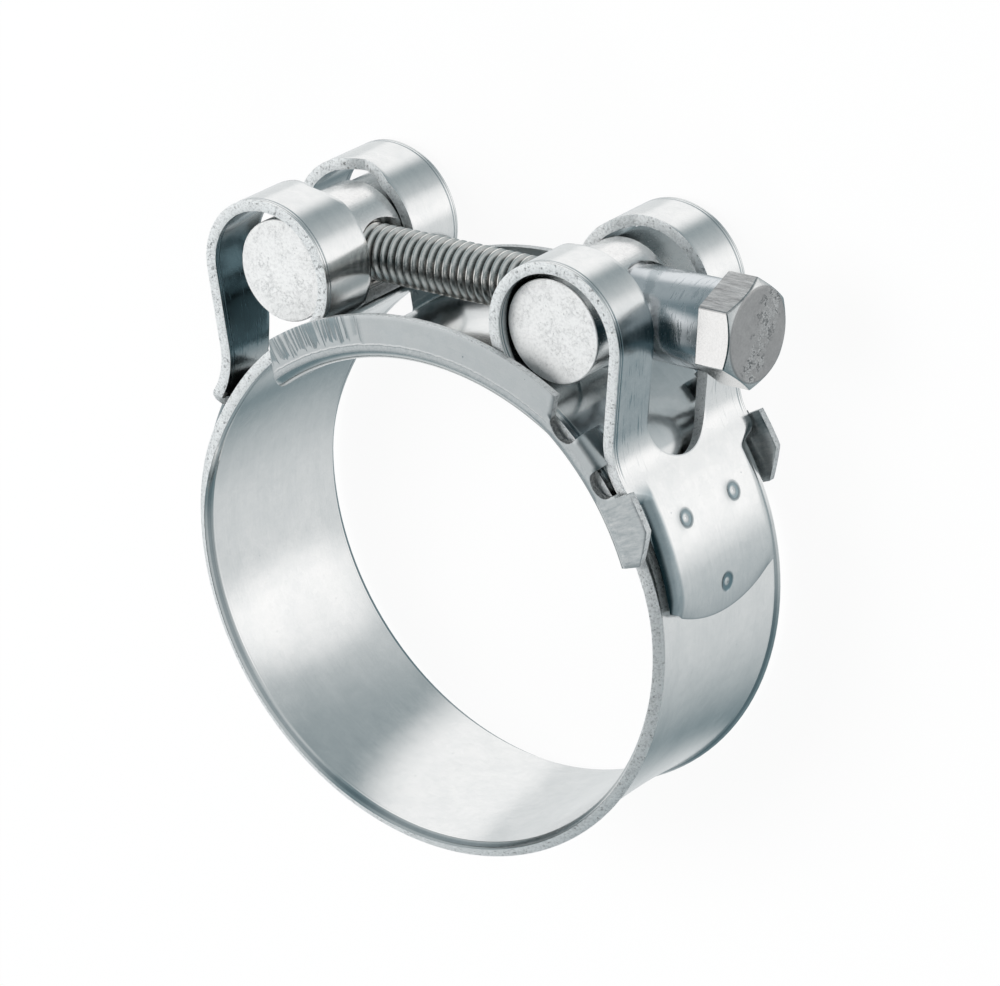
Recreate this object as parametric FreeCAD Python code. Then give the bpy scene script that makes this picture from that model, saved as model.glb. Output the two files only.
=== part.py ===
"""Heavy-duty trunnion-bolt hose clamp: one folded band, a channel that bridges its
gap, two trunnions in the band's end loops, and a hex bolt with its spacer sleeve.

Frame, in millimetres: the hose runs along Z and the bore is centred on the origin.
X runs along the bolt towards its head, and Y from the hose towards the bolt.
"""
import FreeCAD, Part
import math
import os

from FreeCAD import Vector

# Band strip
BAND_WIDTH = 22.0
BAND_THICKNESS = 1.2
BORE_RADIUS = 28.0
LIP_BEND_RADIUS = 0.9       # centre line of the bend that turns an edge outwards
LIP_SLOPE = 34.0            # slope of the lip's flank, in degrees
LIP_FLANK = 1.35
LIP_HEM_SLOPE = 18.0        # the lip's last strip flattens again
LIP_HEM = 0.5
LIP_END_ANGLE = 33.0        # polar angle where the ring's turned-out edges stop

# End loops of the band
LOOP_RADIUS = 7.35          # centre line of the strip round the trunnion
LEG_LEAN = 7.0              # degrees that the outer leg leans towards the hose
FOOT_RADIUS = 8.0           # centre line of the reverse bend at the leg's foot

# Tongue, the narrowed end that lies on the band and is welded to it
TONGUE_WIDTH = 18.6
TONGUE_END_ANGLE = 1.5      # polar angle of the tip, from the X axis
TONGUE_TIP_RADIUS = 16.0
TONGUE_LIP_SLOPE = 60.0     # the tongue's edges turn down in one bend
TONGUE_LIP_FLANK = 0.39
TONGUE_GAP = 0.06           # between the tongue's turned-down edges and the ring
WELD_RADIUS = 1.5
DIMPLE_RADIUS = 1.1
DIMPLE_DEPTH = 0.35
WELD_PAIR_ANGLE = 22.0
WELD_PAIR_SPACING = 8.4
WELD_TIP_ANGLE = 7.0

# Bolt window through each loop and leg
WINDOW_WIDE = 10.2
WINDOW_NARROW = 7.4
WINDOW_BELOW_BOLT = 4.2     # from the bolt's centre line down to the window's end
WINDOW_TAPER_START = 98.0   # angles round the loop between which the window narrows
WINDOW_TAPER_END = 126.0
SLOT_BOTTOM_DROP = 14.7     # from the bolt's centre line down to the slot's round end

# Trunnions
TRUNNION_RADIUS = 5.5
TRUNNION_LENGTH = 19.2
TRUNNION_SPACING = 34.2
TRUNNION_CHAMFER = 0.35
SEAT_CLEARANCE = 0.12
SEAT_ANGLE = 5.7            # degrees above level at which the bolt's pull seats each trunnion

# Bolt and spacer sleeve
THREAD_DIAMETER = 6.0
BOLT_LENGTH = 55.0
BOLT_TIP_CHAMFER = 0.9
HEAD_ACROSS_FLATS = 10.0
HEAD_HEIGHT = 4.0
HEAD_TURN = -9.0            # degrees that a corner stands off the Y direction
HEAD_FACE_DIAMETER = 9.5
HEAD_CHAMFER = 30.0         # degrees between the head's face and its turned corners
HEAD_SEAT_X = 31.1
SLEEVE_DIAMETER = 9.4
SLEEVE_BORE = 6.4
POCKET_DEPTH = 2.2
THREAD_SINK = 0.8           # depth of the countersink where the bolt enters its thread
THREAD_PLAY = 0.05
SLIDE_PLAY = 0.2
FACE_PLAY = 0.04

# Gap bridge
BRIDGE_THICKNESS = 0.8
BRIDGE_SIDE_PLAY = 0.3
BRIDGE_FIT = 0.08           # between the bridge's floor and the inside of the band
BRIDGE_HEIGHT = 4.8         # walls of the free part, over all
BRIDGE_BEND = 8.3           # degrees that the free part tips inwards at its notch
BRIDGE_BEND_ANGLE = 50.0    # polar angle of that bend
BRIDGE_END_ANGLE = 131.4    # polar angle of the free end
BRIDGE_END_DROP = 1.93      # gap between the free end and the inside of the band
BRIDGE_WALL_START = 2.2     # degrees that the tall wall's top stops short of the bend
BRIDGE_WALL_END = 5.3       # degrees that the tall wall's top stops short of the far end
BRIDGE_TAIL_ANGLE = 18.0    # polar angle of the end that is fixed to the band
NOTCH_RADIUS = 1.5
NOTCH_NEAR_ANGLE = 48.0
NOTCH_FAR_ANGLE = 35.2
NOTCH_FLOOR = 0.5           # metal left above the floor at the bottom of a notch
LOW_WALL_HEIGHT = 4.1
CLINCH_REACH = 3.2
CLINCH_LIFT = 0.9           # the finger's height over the band, beyond its curled edge
CLINCH_FROM_ANGLE = 40.4
CLINCH_TO_ANGLE = 45.0
TAB_HEIGHT = 5.8
TAB_FRONT_HEIGHT = 3.2
TAB_PEAK_ANGLE = 25.0
TAB_START_ANGLE = 31.5

Z_AXIS = Vector(0, 0, 1)
BAND_MID_RADIUS = BORE_RADIUS + BAND_THICKNESS / 2
BAND_OUTER_RADIUS = BORE_RADIUS + BAND_THICKNESS
BRIDGE_FLOOR_RADIUS = BORE_RADIUS - BRIDGE_FIT - BRIDGE_THICKNESS
TRUNNION_X = TRUNNION_SPACING / 2

# The loop touches the ring, and the bolt's pull seats the trunnion on its gap side
SEAT_SLACK = LOOP_RADIUS - BAND_THICKNESS / 2 - TRUNNION_RADIUS - SEAT_CLEARANCE
LOOP_X = TRUNNION_X + SEAT_SLACK * math.cos(math.radians(SEAT_ANGLE))
LOOP_Y = math.sqrt((BAND_MID_RADIUS + LOOP_RADIUS) ** 2 - LOOP_X ** 2)
LOOP_CENTRE = Vector(LOOP_X, LOOP_Y, 0)
BOLT_Y = LOOP_Y + SEAT_SLACK * math.sin(math.radians(SEAT_ANGLE))
WINDOW_END_Y = BOLT_Y - WINDOW_BELOW_BOLT
SLOT_BOTTOM_Y = BOLT_Y - SLOT_BOTTOM_DROP
LIPPED = (BAND_WIDTH, LIP_SLOPE, LIP_FLANK, LIP_HEM_SLOPE, LIP_HEM)
TONGUE = (TONGUE_WIDTH, TONGUE_LIP_SLOPE, TONGUE_LIP_FLANK)
PLAIN = (BAND_WIDTH,)


def polar(radius, degrees, centre=Vector(0, 0, 0)):
    """Point at a radius and polar angle about a centre."""
    turn = math.radians(degrees)
    return centre + Vector(radius * math.cos(turn), radius * math.sin(turn), 0)


def angle_of(vector):
    """Polar angle of a vector, in degrees."""
    return math.degrees(math.atan2(vector.y, vector.x))


def mirrored(shape):
    """The same shape at the other end of the clamp."""
    return shape.mirror(Vector(0, 0, 0), Vector(1, 0, 0))


def lip_rise(slope, flank):
    """How far a lip of one bend climbs, along the strip's centre line."""
    turn = math.radians(slope)
    return LIP_BEND_RADIUS * (1 - math.cos(turn)) + flank * math.sin(turn)


def tongue_mid_radius():
    """Centre line of the tongue, whose turned-down edges just clear the ring."""
    corner = BAND_THICKNESS / 2 * math.cos(math.radians(TONGUE_LIP_SLOPE))
    rise = lip_rise(TONGUE_LIP_SLOPE, TONGUE_LIP_FLANK)
    return BAND_OUTER_RADIUS + TONGUE_GAP + rise + corner


def plain_section(point, outward, width):
    """Rectangular cross-section of the strip, where its edges aren't turned."""
    across = Z_AXIS * width / 2
    thick = outward * BAND_THICKNESS / 2
    corners = [
        point - across - thick,
        point + across - thick,
        point + across + thick,
        point - across + thick,
        point - across - thick,
    ]
    return Part.Face(Part.makePolygon(corners))


def lipped_section(point, outward, width, slope, flank, hem_slope=None, hem=0.0):
    """Cross-section of the strip: flat in the middle, both edges turned outwards.

    The point is on the strip's centre line and outward is the side that the edges turn
    to. A lip is one round bend and a straight flank, and may end in a flatter hem.
    """
    thick = BAND_THICKNESS / 2
    turn = math.radians(slope)
    hem_turn = turn if hem_slope is None else math.radians(hem_slope)
    # the section's widest point is the corner of its inner face
    lip_width = (
        LIP_BEND_RADIUS * math.sin(turn) + flank * math.cos(turn)
        + hem * math.cos(hem_turn) + thick * math.sin(hem_turn)
    )
    start = width / 2 - lip_width
    mitre = (turn + hem_turn) / 2
    mitre_reach = 1 / math.cos((turn - hem_turn) / 2)
    fold_across = start + LIP_BEND_RADIUS * math.sin(turn) + flank * math.cos(turn)
    fold_height = lip_rise(slope, flank)
    hem_across = fold_across + hem * math.cos(hem_turn)
    hem_height = fold_height + hem * math.sin(hem_turn)

    def at(height, across):
        return point + outward * height + Z_AXIS * across

    def lip(side, face):
        """Points of one face of one lip: three on its bend, its fold and its edge."""
        radius = LIP_BEND_RADIUS - face
        places = []
        for bend in (0.0, turn / 2, turn):
            height = LIP_BEND_RADIUS - radius * math.cos(bend)
            places.append((height, start + radius * math.sin(bend)))
        if hem:
            places.append((
                fold_height + face * mitre_reach * math.cos(mitre),
                fold_across - face * mitre_reach * math.sin(mitre),
            ))
        places.append((
            hem_height + face * math.cos(hem_turn),
            hem_across - face * math.sin(hem_turn),
        ))
        return [at(height, side * across) for height, across in places]

    edges = []
    flats = []
    for side in (1, -1):
        inner = lip(side, -thick)
        outer = lip(side, thick)
        for points in (inner, outer):
            edges.append(Part.Arc(*points[:3]).toShape())
            for first, second in zip(points[2:], points[3:]):
                edges.append(Part.makeLine(first, second))
        edges.append(Part.makeLine(inner[-1], outer[-1]))
        flats.append((inner[0], outer[0]))
    for upper, lower in zip(*flats):
        edges.append(Part.makeLine(upper, lower))
    return Part.Face(Part.Wire(Part.__sortEdges__(edges)))


def strip_arc(centre, radius, start, turn, *section, lips_out=True):
    """A bent length of strip: the section turned about the bend's centre."""
    point = polar(radius, start, centre)
    outward = (point - centre).normalize() * (1 if lips_out else -1)
    shaped = plain_section if section == PLAIN else lipped_section
    face = shaped(point, outward, *section)
    return face.revolve(centre, Z_AXIS * math.copysign(1, turn), abs(turn))


def leg_layout():
    """Where the outer leg leaves the loop, how long it is, and its foot's centre."""
    lean = math.radians(LEG_LEAN)
    down = Vector(-math.sin(lean), -math.cos(lean), 0)
    out = Vector(math.cos(lean), -math.sin(lean), 0)
    leave = LOOP_CENTRE + out * LOOP_RADIUS
    start = leave + out * FOOT_RADIUS
    reach = tongue_mid_radius() + FOOT_RADIUS
    # the foot's centre slides down beside the leg until its bend touches the tongue
    towards = start.dot(down)
    length = -towards - math.sqrt(towards ** 2 - start.Length ** 2 + reach ** 2)
    return leave, down, out, length, start + down * length


def tongue_blank(start_angle):
    """The welded end: a narrower strip with its edges turned down and a bowed tip."""
    sweep = start_angle - TONGUE_END_ANGLE
    blank = strip_arc(
        Vector(), tongue_mid_radius(), start_angle, -sweep, *TONGUE, lips_out=False
    )
    # the tip is bowed in the flat, so its cutter is a bar square to the strip there
    tip = polar(tongue_mid_radius(), TONGUE_END_ANGLE)
    side = TONGUE_WIDTH / 2 + BAND_THICKNESS
    depth = TONGUE_TIP_RADIUS - math.sqrt(TONGUE_TIP_RADIUS ** 2 - side ** 2)
    reach = 4 * BAND_THICKNESS
    block = Part.makeBox(2 * reach, 3 * depth, 2 * side)
    block.translate(Vector(tip.x - reach, tip.y - depth, -side))
    bow = Part.makeCylinder(
        TONGUE_TIP_RADIUS, 2 * reach,
        Vector(tip.x - reach, tip.y + TONGUE_TIP_RADIUS, 0), Vector(1, 0, 0),
    )
    return blank.cut(block.cut(bow))


def window_cutter():
    """Everything that the bolt window takes out of one loop and its leg."""
    centre = LOOP_CENTRE
    wide = WINDOW_WIDE / 2
    narrow = WINDOW_NARROW / 2
    top = centre.y + LOOP_RADIUS + 2 * BAND_THICKNESS
    left = centre.x - LOOP_RADIUS - 2 * BAND_THICKNESS
    taper_from = polar(LOOP_RADIUS, WINDOW_TAPER_START, centre).x
    taper_to = polar(LOOP_RADIUS, WINDOW_TAPER_END, centre).x
    right = centre.x + LOOP_RADIUS / 2
    low = WINDOW_END_Y
    outline = [
        Vector(left, low, -narrow),
        Vector(taper_to, low, -narrow),
        Vector(taper_from, low, -wide),
        Vector(right, low, -wide),
        Vector(right, low, wide),
        Vector(taper_from, low, wide),
        Vector(taper_to, low, narrow),
        Vector(left, low, narrow),
        Vector(left, low, -narrow),
    ]
    keyhole = Part.Face(Part.makePolygon(outline)).extrude(Vector(0, top - low, 0))
    reach = LOOP_RADIUS + 2 * BAND_THICKNESS
    slot_y = SLOT_BOTTOM_Y + wide
    slot = Part.makeBox(reach, top - slot_y, WINDOW_WIDE, Vector(centre.x, slot_y, -wide))
    bottom = Part.makeCylinder(wide, reach, Vector(centre.x, slot_y, 0), Vector(1, 0, 0))
    clear = Part.makeCylinder(
        BAND_OUTER_RADIUS, WINDOW_WIDE * 2, Vector(0, 0, -WINDOW_WIDE)
    )
    return keyhole.fuse([slot, bottom]).cut(clear)


def weld(angle, across):
    """One weld under the tongue, and the dimple that the electrode leaves on top."""
    out = polar(1, angle)
    base = polar(BAND_MID_RADIUS, angle) + Z_AXIS * across
    nugget = Part.makeCylinder(WELD_RADIUS, tongue_mid_radius() - BAND_MID_RADIUS, base, out)
    top = polar(tongue_mid_radius() + BAND_THICKNESS / 2, angle) + Z_AXIS * across
    dimple = Part.makeCone(
        DIMPLE_RADIUS / 2, DIMPLE_RADIUS, DIMPLE_DEPTH, top - out * DIMPLE_DEPTH, out
    )
    return nugget, dimple


def make_band_end():
    """The right end of the band beyond the ring: loop, leg, foot and welded tongue."""
    leave, down, out, length, foot_centre = leg_layout()
    loop_start = angle_of(LOOP_CENTRE) + 180
    loop = strip_arc(
        LOOP_CENTRE, LOOP_RADIUS, loop_start, -(loop_start + LEG_LEAN), *PLAIN
    )
    leg = plain_section(leave, out, *PLAIN).extrude(down * length)
    foot_angle = angle_of(foot_centre)
    foot_turn = foot_angle + LEG_LEAN
    foot = strip_arc(foot_centre, FOOT_RADIUS, 180 - LEG_LEAN, foot_turn, *PLAIN)
    tongue = tongue_blank(foot_angle)
    end = loop.fuse([leg, foot, tongue])
    end = end.cut(window_cutter())
    nuggets = []
    dimples = []
    places = [
        (WELD_PAIR_ANGLE, WELD_PAIR_SPACING / 2),
        (WELD_PAIR_ANGLE, -WELD_PAIR_SPACING / 2),
        (WELD_TIP_ANGLE, 0.0),
    ]
    for angle, across in places:
        nugget, dimple = weld(angle, across)
        nuggets.append(nugget)
        dimples.append(dimple)
    return end.fuse(nuggets).cut(Part.makeCompound(dimples))


def make_band():
    """The whole strip, one piece from welded tongue to welded tongue."""
    ring = strip_arc(
        Vector(), BAND_MID_RADIUS, 180 - LIP_END_ANGLE, 180 + 2 * LIP_END_ANGLE, *LIPPED
    )
    ring_end = angle_of(LOOP_CENTRE)
    under_loop = strip_arc(
        Vector(), BAND_MID_RADIUS, LIP_END_ANGLE, ring_end - LIP_END_ANGLE, *PLAIN
    )
    right = under_loop.fuse(make_band_end())
    return ring.fuse([right, mirrored(right)]).removeSplitter()


def bridge_free_arc():
    """Centre, radius and sweep of the free part's floor, inside its curve.

    The arc starts at the bend by the near notch, tipped inwards there, and ends where
    the free end hangs its drop below the band.
    """
    hinge = polar(BRIDGE_FLOOR_RADIUS, BRIDGE_BEND_ANGLE)
    end_radius = BORE_RADIUS - BRIDGE_END_DROP - BRIDGE_THICKNESS
    chord = polar(end_radius, BRIDGE_END_ANGLE) - hinge
    start = BRIDGE_BEND_ANGLE + BRIDGE_BEND
    half_sweep = angle_of(chord) - (start + 90)
    radius = chord.Length / 2 / math.sin(math.radians(half_sweep))
    return hinge - polar(radius, start), radius, 2 * half_sweep


def ring_sector(centre, inner, outer, start, end, start_short=0.0, end_short=0.0):
    """Flat ring sector. Its outer arc can stop short of the inner one at either end."""
    middle = (start + end) / 2
    outer_start = start + start_short
    outer_end = end - end_short
    below = [polar(inner, angle, centre) for angle in (start, middle, end)]
    above = [polar(outer, angle, centre) for angle in (outer_end, middle, outer_start)]
    edges = [
        Part.Arc(*below).toShape(),
        Part.makeLine(below[2], above[0]),
        Part.Arc(*above).toShape(),
        Part.makeLine(above[2], below[0]),
    ]
    return Part.Face(Part.Wire(edges))


def bridge_floor():
    """Outline of the floor: one arc inside the band, and the free arc that tips inwards."""
    inner = BRIDGE_FLOOR_RADIUS
    outer = inner + BRIDGE_THICKNESS
    free_start = BRIDGE_BEND_ANGLE + BRIDGE_BEND
    fixed = ring_sector(Vector(), inner, outer, BRIDGE_TAIL_ANGLE, BRIDGE_BEND_ANGLE)
    centre, radius, sweep = bridge_free_arc()
    free = ring_sector(
        centre, radius, radius + BRIDGE_THICKNESS, free_start, free_start + sweep
    )
    hinge = polar(inner, BRIDGE_BEND_ANGLE)
    wedge = Part.makePolygon([
        hinge,
        polar(outer, BRIDGE_BEND_ANGLE),
        hinge + polar(BRIDGE_THICKNESS, free_start),
        hinge,
    ])
    return fixed.fuse([free, Part.Face(wedge)])


def notch(angle):
    """A keyhole notch in a wall: a round bottom and parallel sides."""
    centre = polar(BRIDGE_FLOOR_RADIUS + BRIDGE_THICKNESS + NOTCH_FLOOR + NOTCH_RADIUS, angle)
    across = polar(NOTCH_RADIUS, angle + 90)
    rise = polar(2 * TAB_HEIGHT, angle)
    mouth = Part.makePolygon([
        centre - across,
        centre + across,
        centre + across + rise,
        centre - across + rise,
        centre - across,
    ])
    disc = Part.Wire(Part.makeCircle(NOTCH_RADIUS, centre))
    return Part.Face(disc).fuse(Part.Face(mouth))


def bridge_wall():
    """Outline of one side wall: the tall free part, the low wall and the end tab."""
    inner = BRIDGE_FLOOR_RADIUS
    free_start = BRIDGE_BEND_ANGLE + BRIDGE_BEND
    centre, radius, sweep = bridge_free_arc()
    tall = ring_sector(
        centre, radius, radius + BRIDGE_HEIGHT,
        free_start, free_start + sweep, BRIDGE_WALL_START, BRIDGE_WALL_END,
    )
    low = ring_sector(
        Vector(), inner, inner + LOW_WALL_HEIGHT, TAB_START_ANGLE, BRIDGE_BEND_ANGLE
    )
    foot = ring_sector(
        Vector(), inner, inner + BRIDGE_THICKNESS + NOTCH_FLOOR,
        BRIDGE_TAIL_ANGLE, BRIDGE_BEND_ANGLE + BRIDGE_BEND / 2,
    )
    tab = Part.makePolygon([
        polar(inner, BRIDGE_TAIL_ANGLE),
        polar(inner + TAB_FRONT_HEIGHT, BRIDGE_TAIL_ANGLE),
        polar(inner + TAB_HEIGHT, TAB_PEAK_ANGLE),
        polar(inner + TAB_HEIGHT, TAB_START_ANGLE),
        polar(inner, TAB_START_ANGLE),
        polar(inner, BRIDGE_TAIL_ANGLE),
    ])
    walls = tall.fuse([low, foot, Part.Face(tab)])
    return walls.cut(notch(NOTCH_NEAR_ANGLE)).cut(notch(NOTCH_FAR_ANGLE))


def make_bridge():
    """The channel under the gap: a floor inside the band and a wall at each edge."""
    wall_in = BAND_WIDTH / 2 + BRIDGE_SIDE_PLAY
    wall_out = wall_in + BRIDGE_THICKNESS
    plate = bridge_floor().extrude(Z_AXIS * 2 * wall_out)
    plate.translate(Z_AXIS * -wall_out)
    clinch_low = BAND_OUTER_RADIUS + CLINCH_LIFT
    clinch = ring_sector(
        Vector(), clinch_low, clinch_low + BRIDGE_THICKNESS,
        CLINCH_FROM_ANGLE, CLINCH_TO_ANGLE,
    )
    pieces = []
    for side in (1, -1):
        wall = bridge_wall().extrude(Z_AXIS * side * BRIDGE_THICKNESS)
        wall.translate(Z_AXIS * side * wall_in)
        finger = clinch.extrude(Z_AXIS * -side * (CLINCH_REACH + BRIDGE_THICKNESS))
        finger.translate(Z_AXIS * side * wall_out)
        pieces += [wall, finger]
    return plate.fuse(pieces).removeSplitter()


def trunnion_blank(x):
    """A plain turned barrel across the band."""
    half = TRUNNION_LENGTH / 2
    profile = [
        Vector(0, 0, -half),
        Vector(TRUNNION_RADIUS - TRUNNION_CHAMFER, 0, -half),
        Vector(TRUNNION_RADIUS, 0, -half + TRUNNION_CHAMFER),
        Vector(TRUNNION_RADIUS, 0, half - TRUNNION_CHAMFER),
        Vector(TRUNNION_RADIUS - TRUNNION_CHAMFER, 0, half),
        Vector(0, 0, half),
        Vector(0, 0, -half),
    ]
    barrel = Part.Face(Part.makePolygon(profile)).revolve(Vector(), Z_AXIS, 360)
    barrel.translate(Vector(x, BOLT_Y, 0))
    return barrel


def bolt_bar(radius, start, end):
    """A round bar on the bolt's centre line."""
    return Part.makeCylinder(
        radius, end - start, Vector(start, BOLT_Y, 0), Vector(1, 0, 0)
    )


def make_threaded_trunnion():
    """The far barrel, which the bolt screws into."""
    x = -TRUNNION_X
    radius = THREAD_DIAMETER / 2 + THREAD_PLAY
    hole = bolt_bar(radius, x - 2 * TRUNNION_RADIUS, x + 2 * TRUNNION_RADIUS)
    sink = THREAD_SINK
    mouth_x = x + math.sqrt(TRUNNION_RADIUS ** 2 - radius ** 2)
    mouth = Part.makeCone(
        radius, radius + 2 * sink, 2 * sink,
        Vector(mouth_x - sink, BOLT_Y, 0), Vector(1, 0, 0),
    )
    return trunnion_blank(x).cut(hole).cut(mouth)


def make_plain_trunnion():
    """The near barrel: the bolt passes through it and the sleeve sits in its pocket."""
    x = TRUNNION_X
    hole = bolt_bar(SLEEVE_BORE / 2, x - 2 * TRUNNION_RADIUS, x + 2 * TRUNNION_RADIUS)
    pocket_x = x + TRUNNION_RADIUS - POCKET_DEPTH
    pocket = bolt_bar(
        SLEEVE_DIAMETER / 2 + SLIDE_PLAY, pocket_x, x + 2 * TRUNNION_RADIUS
    )
    return trunnion_blank(x).cut(hole).cut(pocket)


def make_sleeve():
    """The spacer between the near barrel and the bolt's head."""
    start = TRUNNION_X + TRUNNION_RADIUS - POCKET_DEPTH + FACE_PLAY
    end = HEAD_SEAT_X - FACE_PLAY
    outside = bolt_bar(SLEEVE_DIAMETER / 2, start, end)
    return outside.cut(bolt_bar(SLEEVE_BORE / 2, start, end))


def make_bolt():
    """Hex bolt, with its crests as a plain cylinder and its head's corners turned down."""
    tip = HEAD_SEAT_X - BOLT_LENGTH
    radius = THREAD_DIAMETER / 2
    axis = Vector(1, 0, 0)
    shank = bolt_bar(radius, tip + BOLT_TIP_CHAMFER, HEAD_SEAT_X)
    point = Part.makeCone(
        radius - BOLT_TIP_CHAMFER, radius, BOLT_TIP_CHAMFER,
        Vector(tip, BOLT_Y, 0), axis,
    )
    corner = HEAD_ACROSS_FLATS / math.sqrt(3)
    corners = []
    for step in range(7):
        turn = math.radians(60 * step + HEAD_TURN)
        corners.append(Vector(
            HEAD_SEAT_X,
            BOLT_Y + corner * math.cos(turn),
            corner * math.sin(turn),
        ))
    prism = Part.Face(Part.makePolygon(corners)).extrude(axis * HEAD_HEIGHT)
    # a cone turns the corners down to the end face's circle
    flat = HEAD_FACE_DIAMETER / 2
    spread = HEAD_HEIGHT / math.tan(math.radians(HEAD_CHAMFER))
    turned = Part.makeCone(
        flat + spread, flat, HEAD_HEIGHT, Vector(HEAD_SEAT_X, BOLT_Y, 0), axis
    )
    return shank.fuse([point, prism.common(turned)]).removeSplitter()


def main():
    """Build each piece and write it to its own file."""
    os.makedirs("parts", exist_ok=True)
    pieces = {
        "band": make_band(),
        "bridge": make_bridge(),
        "threaded_trunnion": make_threaded_trunnion(),
        "plain_trunnion": make_plain_trunnion(),
        "spacer_sleeve": make_sleeve(),
        "bolt": make_bolt(),
    }
    for name, shape in pieces.items():
        solids = shape.Solids
        print(name, len(solids), "solid", shape.isValid(), round(shape.Volume, 1), "mm3")
        result = solids[0] if len(solids) == 1 else shape
        result.exportStep(f"parts/{name}.step")


main()
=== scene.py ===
# %% [markdown]
# # A trunnion-bolt hose clamp
# This lesson dresses a heavy hose clamp: one folded steel band, a channel that bridges
# the band's gap, two barrels called trunnions, a hex bolt and its spacer sleeve.
# The frame is the clamp's exact solid model. It fixes every size and every joint, so
# each new piece is made where the frame already is, in metres.

import math

import bpy
from mathutils import Matrix, Vector
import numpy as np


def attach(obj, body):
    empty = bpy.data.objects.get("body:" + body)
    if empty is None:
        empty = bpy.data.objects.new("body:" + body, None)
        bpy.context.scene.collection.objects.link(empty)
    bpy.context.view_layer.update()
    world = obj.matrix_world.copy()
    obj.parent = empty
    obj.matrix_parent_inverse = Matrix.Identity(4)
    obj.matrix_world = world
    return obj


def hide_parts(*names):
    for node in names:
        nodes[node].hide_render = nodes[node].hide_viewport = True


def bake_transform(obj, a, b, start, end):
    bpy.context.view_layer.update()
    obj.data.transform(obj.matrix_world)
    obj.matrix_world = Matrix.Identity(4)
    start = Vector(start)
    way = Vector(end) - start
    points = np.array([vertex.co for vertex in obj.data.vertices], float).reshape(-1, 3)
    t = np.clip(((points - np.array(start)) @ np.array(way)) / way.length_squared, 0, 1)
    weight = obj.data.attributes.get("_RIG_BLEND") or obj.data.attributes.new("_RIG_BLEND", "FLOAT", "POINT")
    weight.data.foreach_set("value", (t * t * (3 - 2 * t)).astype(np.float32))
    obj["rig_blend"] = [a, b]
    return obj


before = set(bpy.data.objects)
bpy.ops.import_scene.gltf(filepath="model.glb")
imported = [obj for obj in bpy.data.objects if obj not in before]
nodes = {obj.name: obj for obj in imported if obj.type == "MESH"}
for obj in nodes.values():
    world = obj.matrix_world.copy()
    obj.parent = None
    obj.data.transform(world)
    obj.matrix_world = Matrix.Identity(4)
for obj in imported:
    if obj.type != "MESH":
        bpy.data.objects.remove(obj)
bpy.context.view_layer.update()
MM = 0.001
print("nodes of the frame:", sorted(nodes))

# %% [markdown]
# ## Camera
# A product photo of a small part is taken from well back with a long lens, so the far
# side of the ring looks almost as large as the near side. The camera is placed by its
# own axes: where it stands, what is right and up for it. A small shift of the film
# frames the part as the photo does, without turning the camera.

# %% The camera
CAMERA_PLACE = Vector((297.574, 208.520, 381.674)) * MM
CAMERA_RIGHT = Vector((0.79907, -0.04260, -0.59973))
CAMERA_UP = Vector((-0.20645, 0.91740, -0.34024))
CAMERA_LENS = 181.776
CAMERA_SHIFT = (0.014245, 0.059045)
FILM_WIDTH = 36.0

camera_data = bpy.data.cameras.new("camera")
camera_data.lens = CAMERA_LENS
camera_data.sensor_width = FILM_WIDTH
camera_data.sensor_fit = "HORIZONTAL"
camera_data.shift_x, camera_data.shift_y = CAMERA_SHIFT
camera_data.clip_start = 0.01
camera_data.clip_end = 20.0
camera = bpy.data.objects.new("camera", camera_data)
bpy.context.scene.collection.objects.link(camera)
camera_back = CAMERA_RIGHT.cross(CAMERA_UP)
camera_turn = Matrix((CAMERA_RIGHT, CAMERA_UP, camera_back)).transposed()
camera.matrix_world = Matrix.Translation(CAMERA_PLACE) @ camera_turn.to_4x4()
bpy.context.scene.camera = camera
print("camera stands", round(CAMERA_PLACE.length, 3), "m away")

# %% [markdown]
# ## Small helpers for modelling by hand
# Operators act on whatever is selected, so each step starts by clearing the selection.
# A new primitive is taken as the active object and its place goes into its mesh.
# Modifiers are applied one by one, in order, as pressing the Apply button does.

# %% Modelling helpers
TOUCHING = 0.001 * MM       # points closer than this are one point


def cleared():
    """Leave edit mode with nothing selected, ready for a new primitive."""
    if bpy.context.mode != "OBJECT":
        bpy.ops.object.mode_set(mode="OBJECT")
    bpy.ops.object.select_all(action="DESELECT")


def alone(piece):
    """Make one object the only selected and active one."""
    cleared()
    piece.select_set(True)
    bpy.context.view_layer.objects.active = piece
    return piece


def settled(piece):
    """Leave a piece at the origin, unturned and unscaled, with its place in its mesh."""
    alone(piece)
    bpy.ops.object.transform_apply(location=True, rotation=True, scale=True)
    return piece


def added(name, primitive, **settings):
    """Add a primitive at its size and place, name it and settle it."""
    cleared()
    primitive(**settings)
    piece = bpy.context.active_object
    piece.name = name
    piece.data.name = name
    return settled(piece)


def modified(piece, kind, **settings):
    """Add one modifier and apply it."""
    alone(piece)
    modifier = piece.modifiers.new(kind.lower(), kind)
    for name, value in settings.items():
        setattr(modifier, name, value)
    bpy.ops.object.modifier_apply(modifier=modifier.name)
    return piece


def cut_by(piece, tool, operation="DIFFERENCE"):
    """Cut a piece with another mesh, which is then thrown away."""
    modified(piece, "BOOLEAN", object=tool, operation=operation, solver="EXACT")
    bpy.data.objects.remove(tool)
    return piece


def edited(piece, *steps):
    """Run edit-mode operators on the whole mesh."""
    alone(piece)
    bpy.ops.object.mode_set(mode="EDIT")
    bpy.ops.mesh.select_all(action="SELECT")
    for step in steps:
        step()
    bpy.ops.object.mode_set(mode="OBJECT")
    return piece


def doubles_merged():
    """Edit-mode step: points that touch become one."""
    bpy.ops.mesh.remove_doubles(threshold=TOUCHING)


def faces_outwards():
    """Edit-mode step: every face turns its front outwards."""
    bpy.ops.mesh.normals_make_consistent(inside=False)


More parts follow.
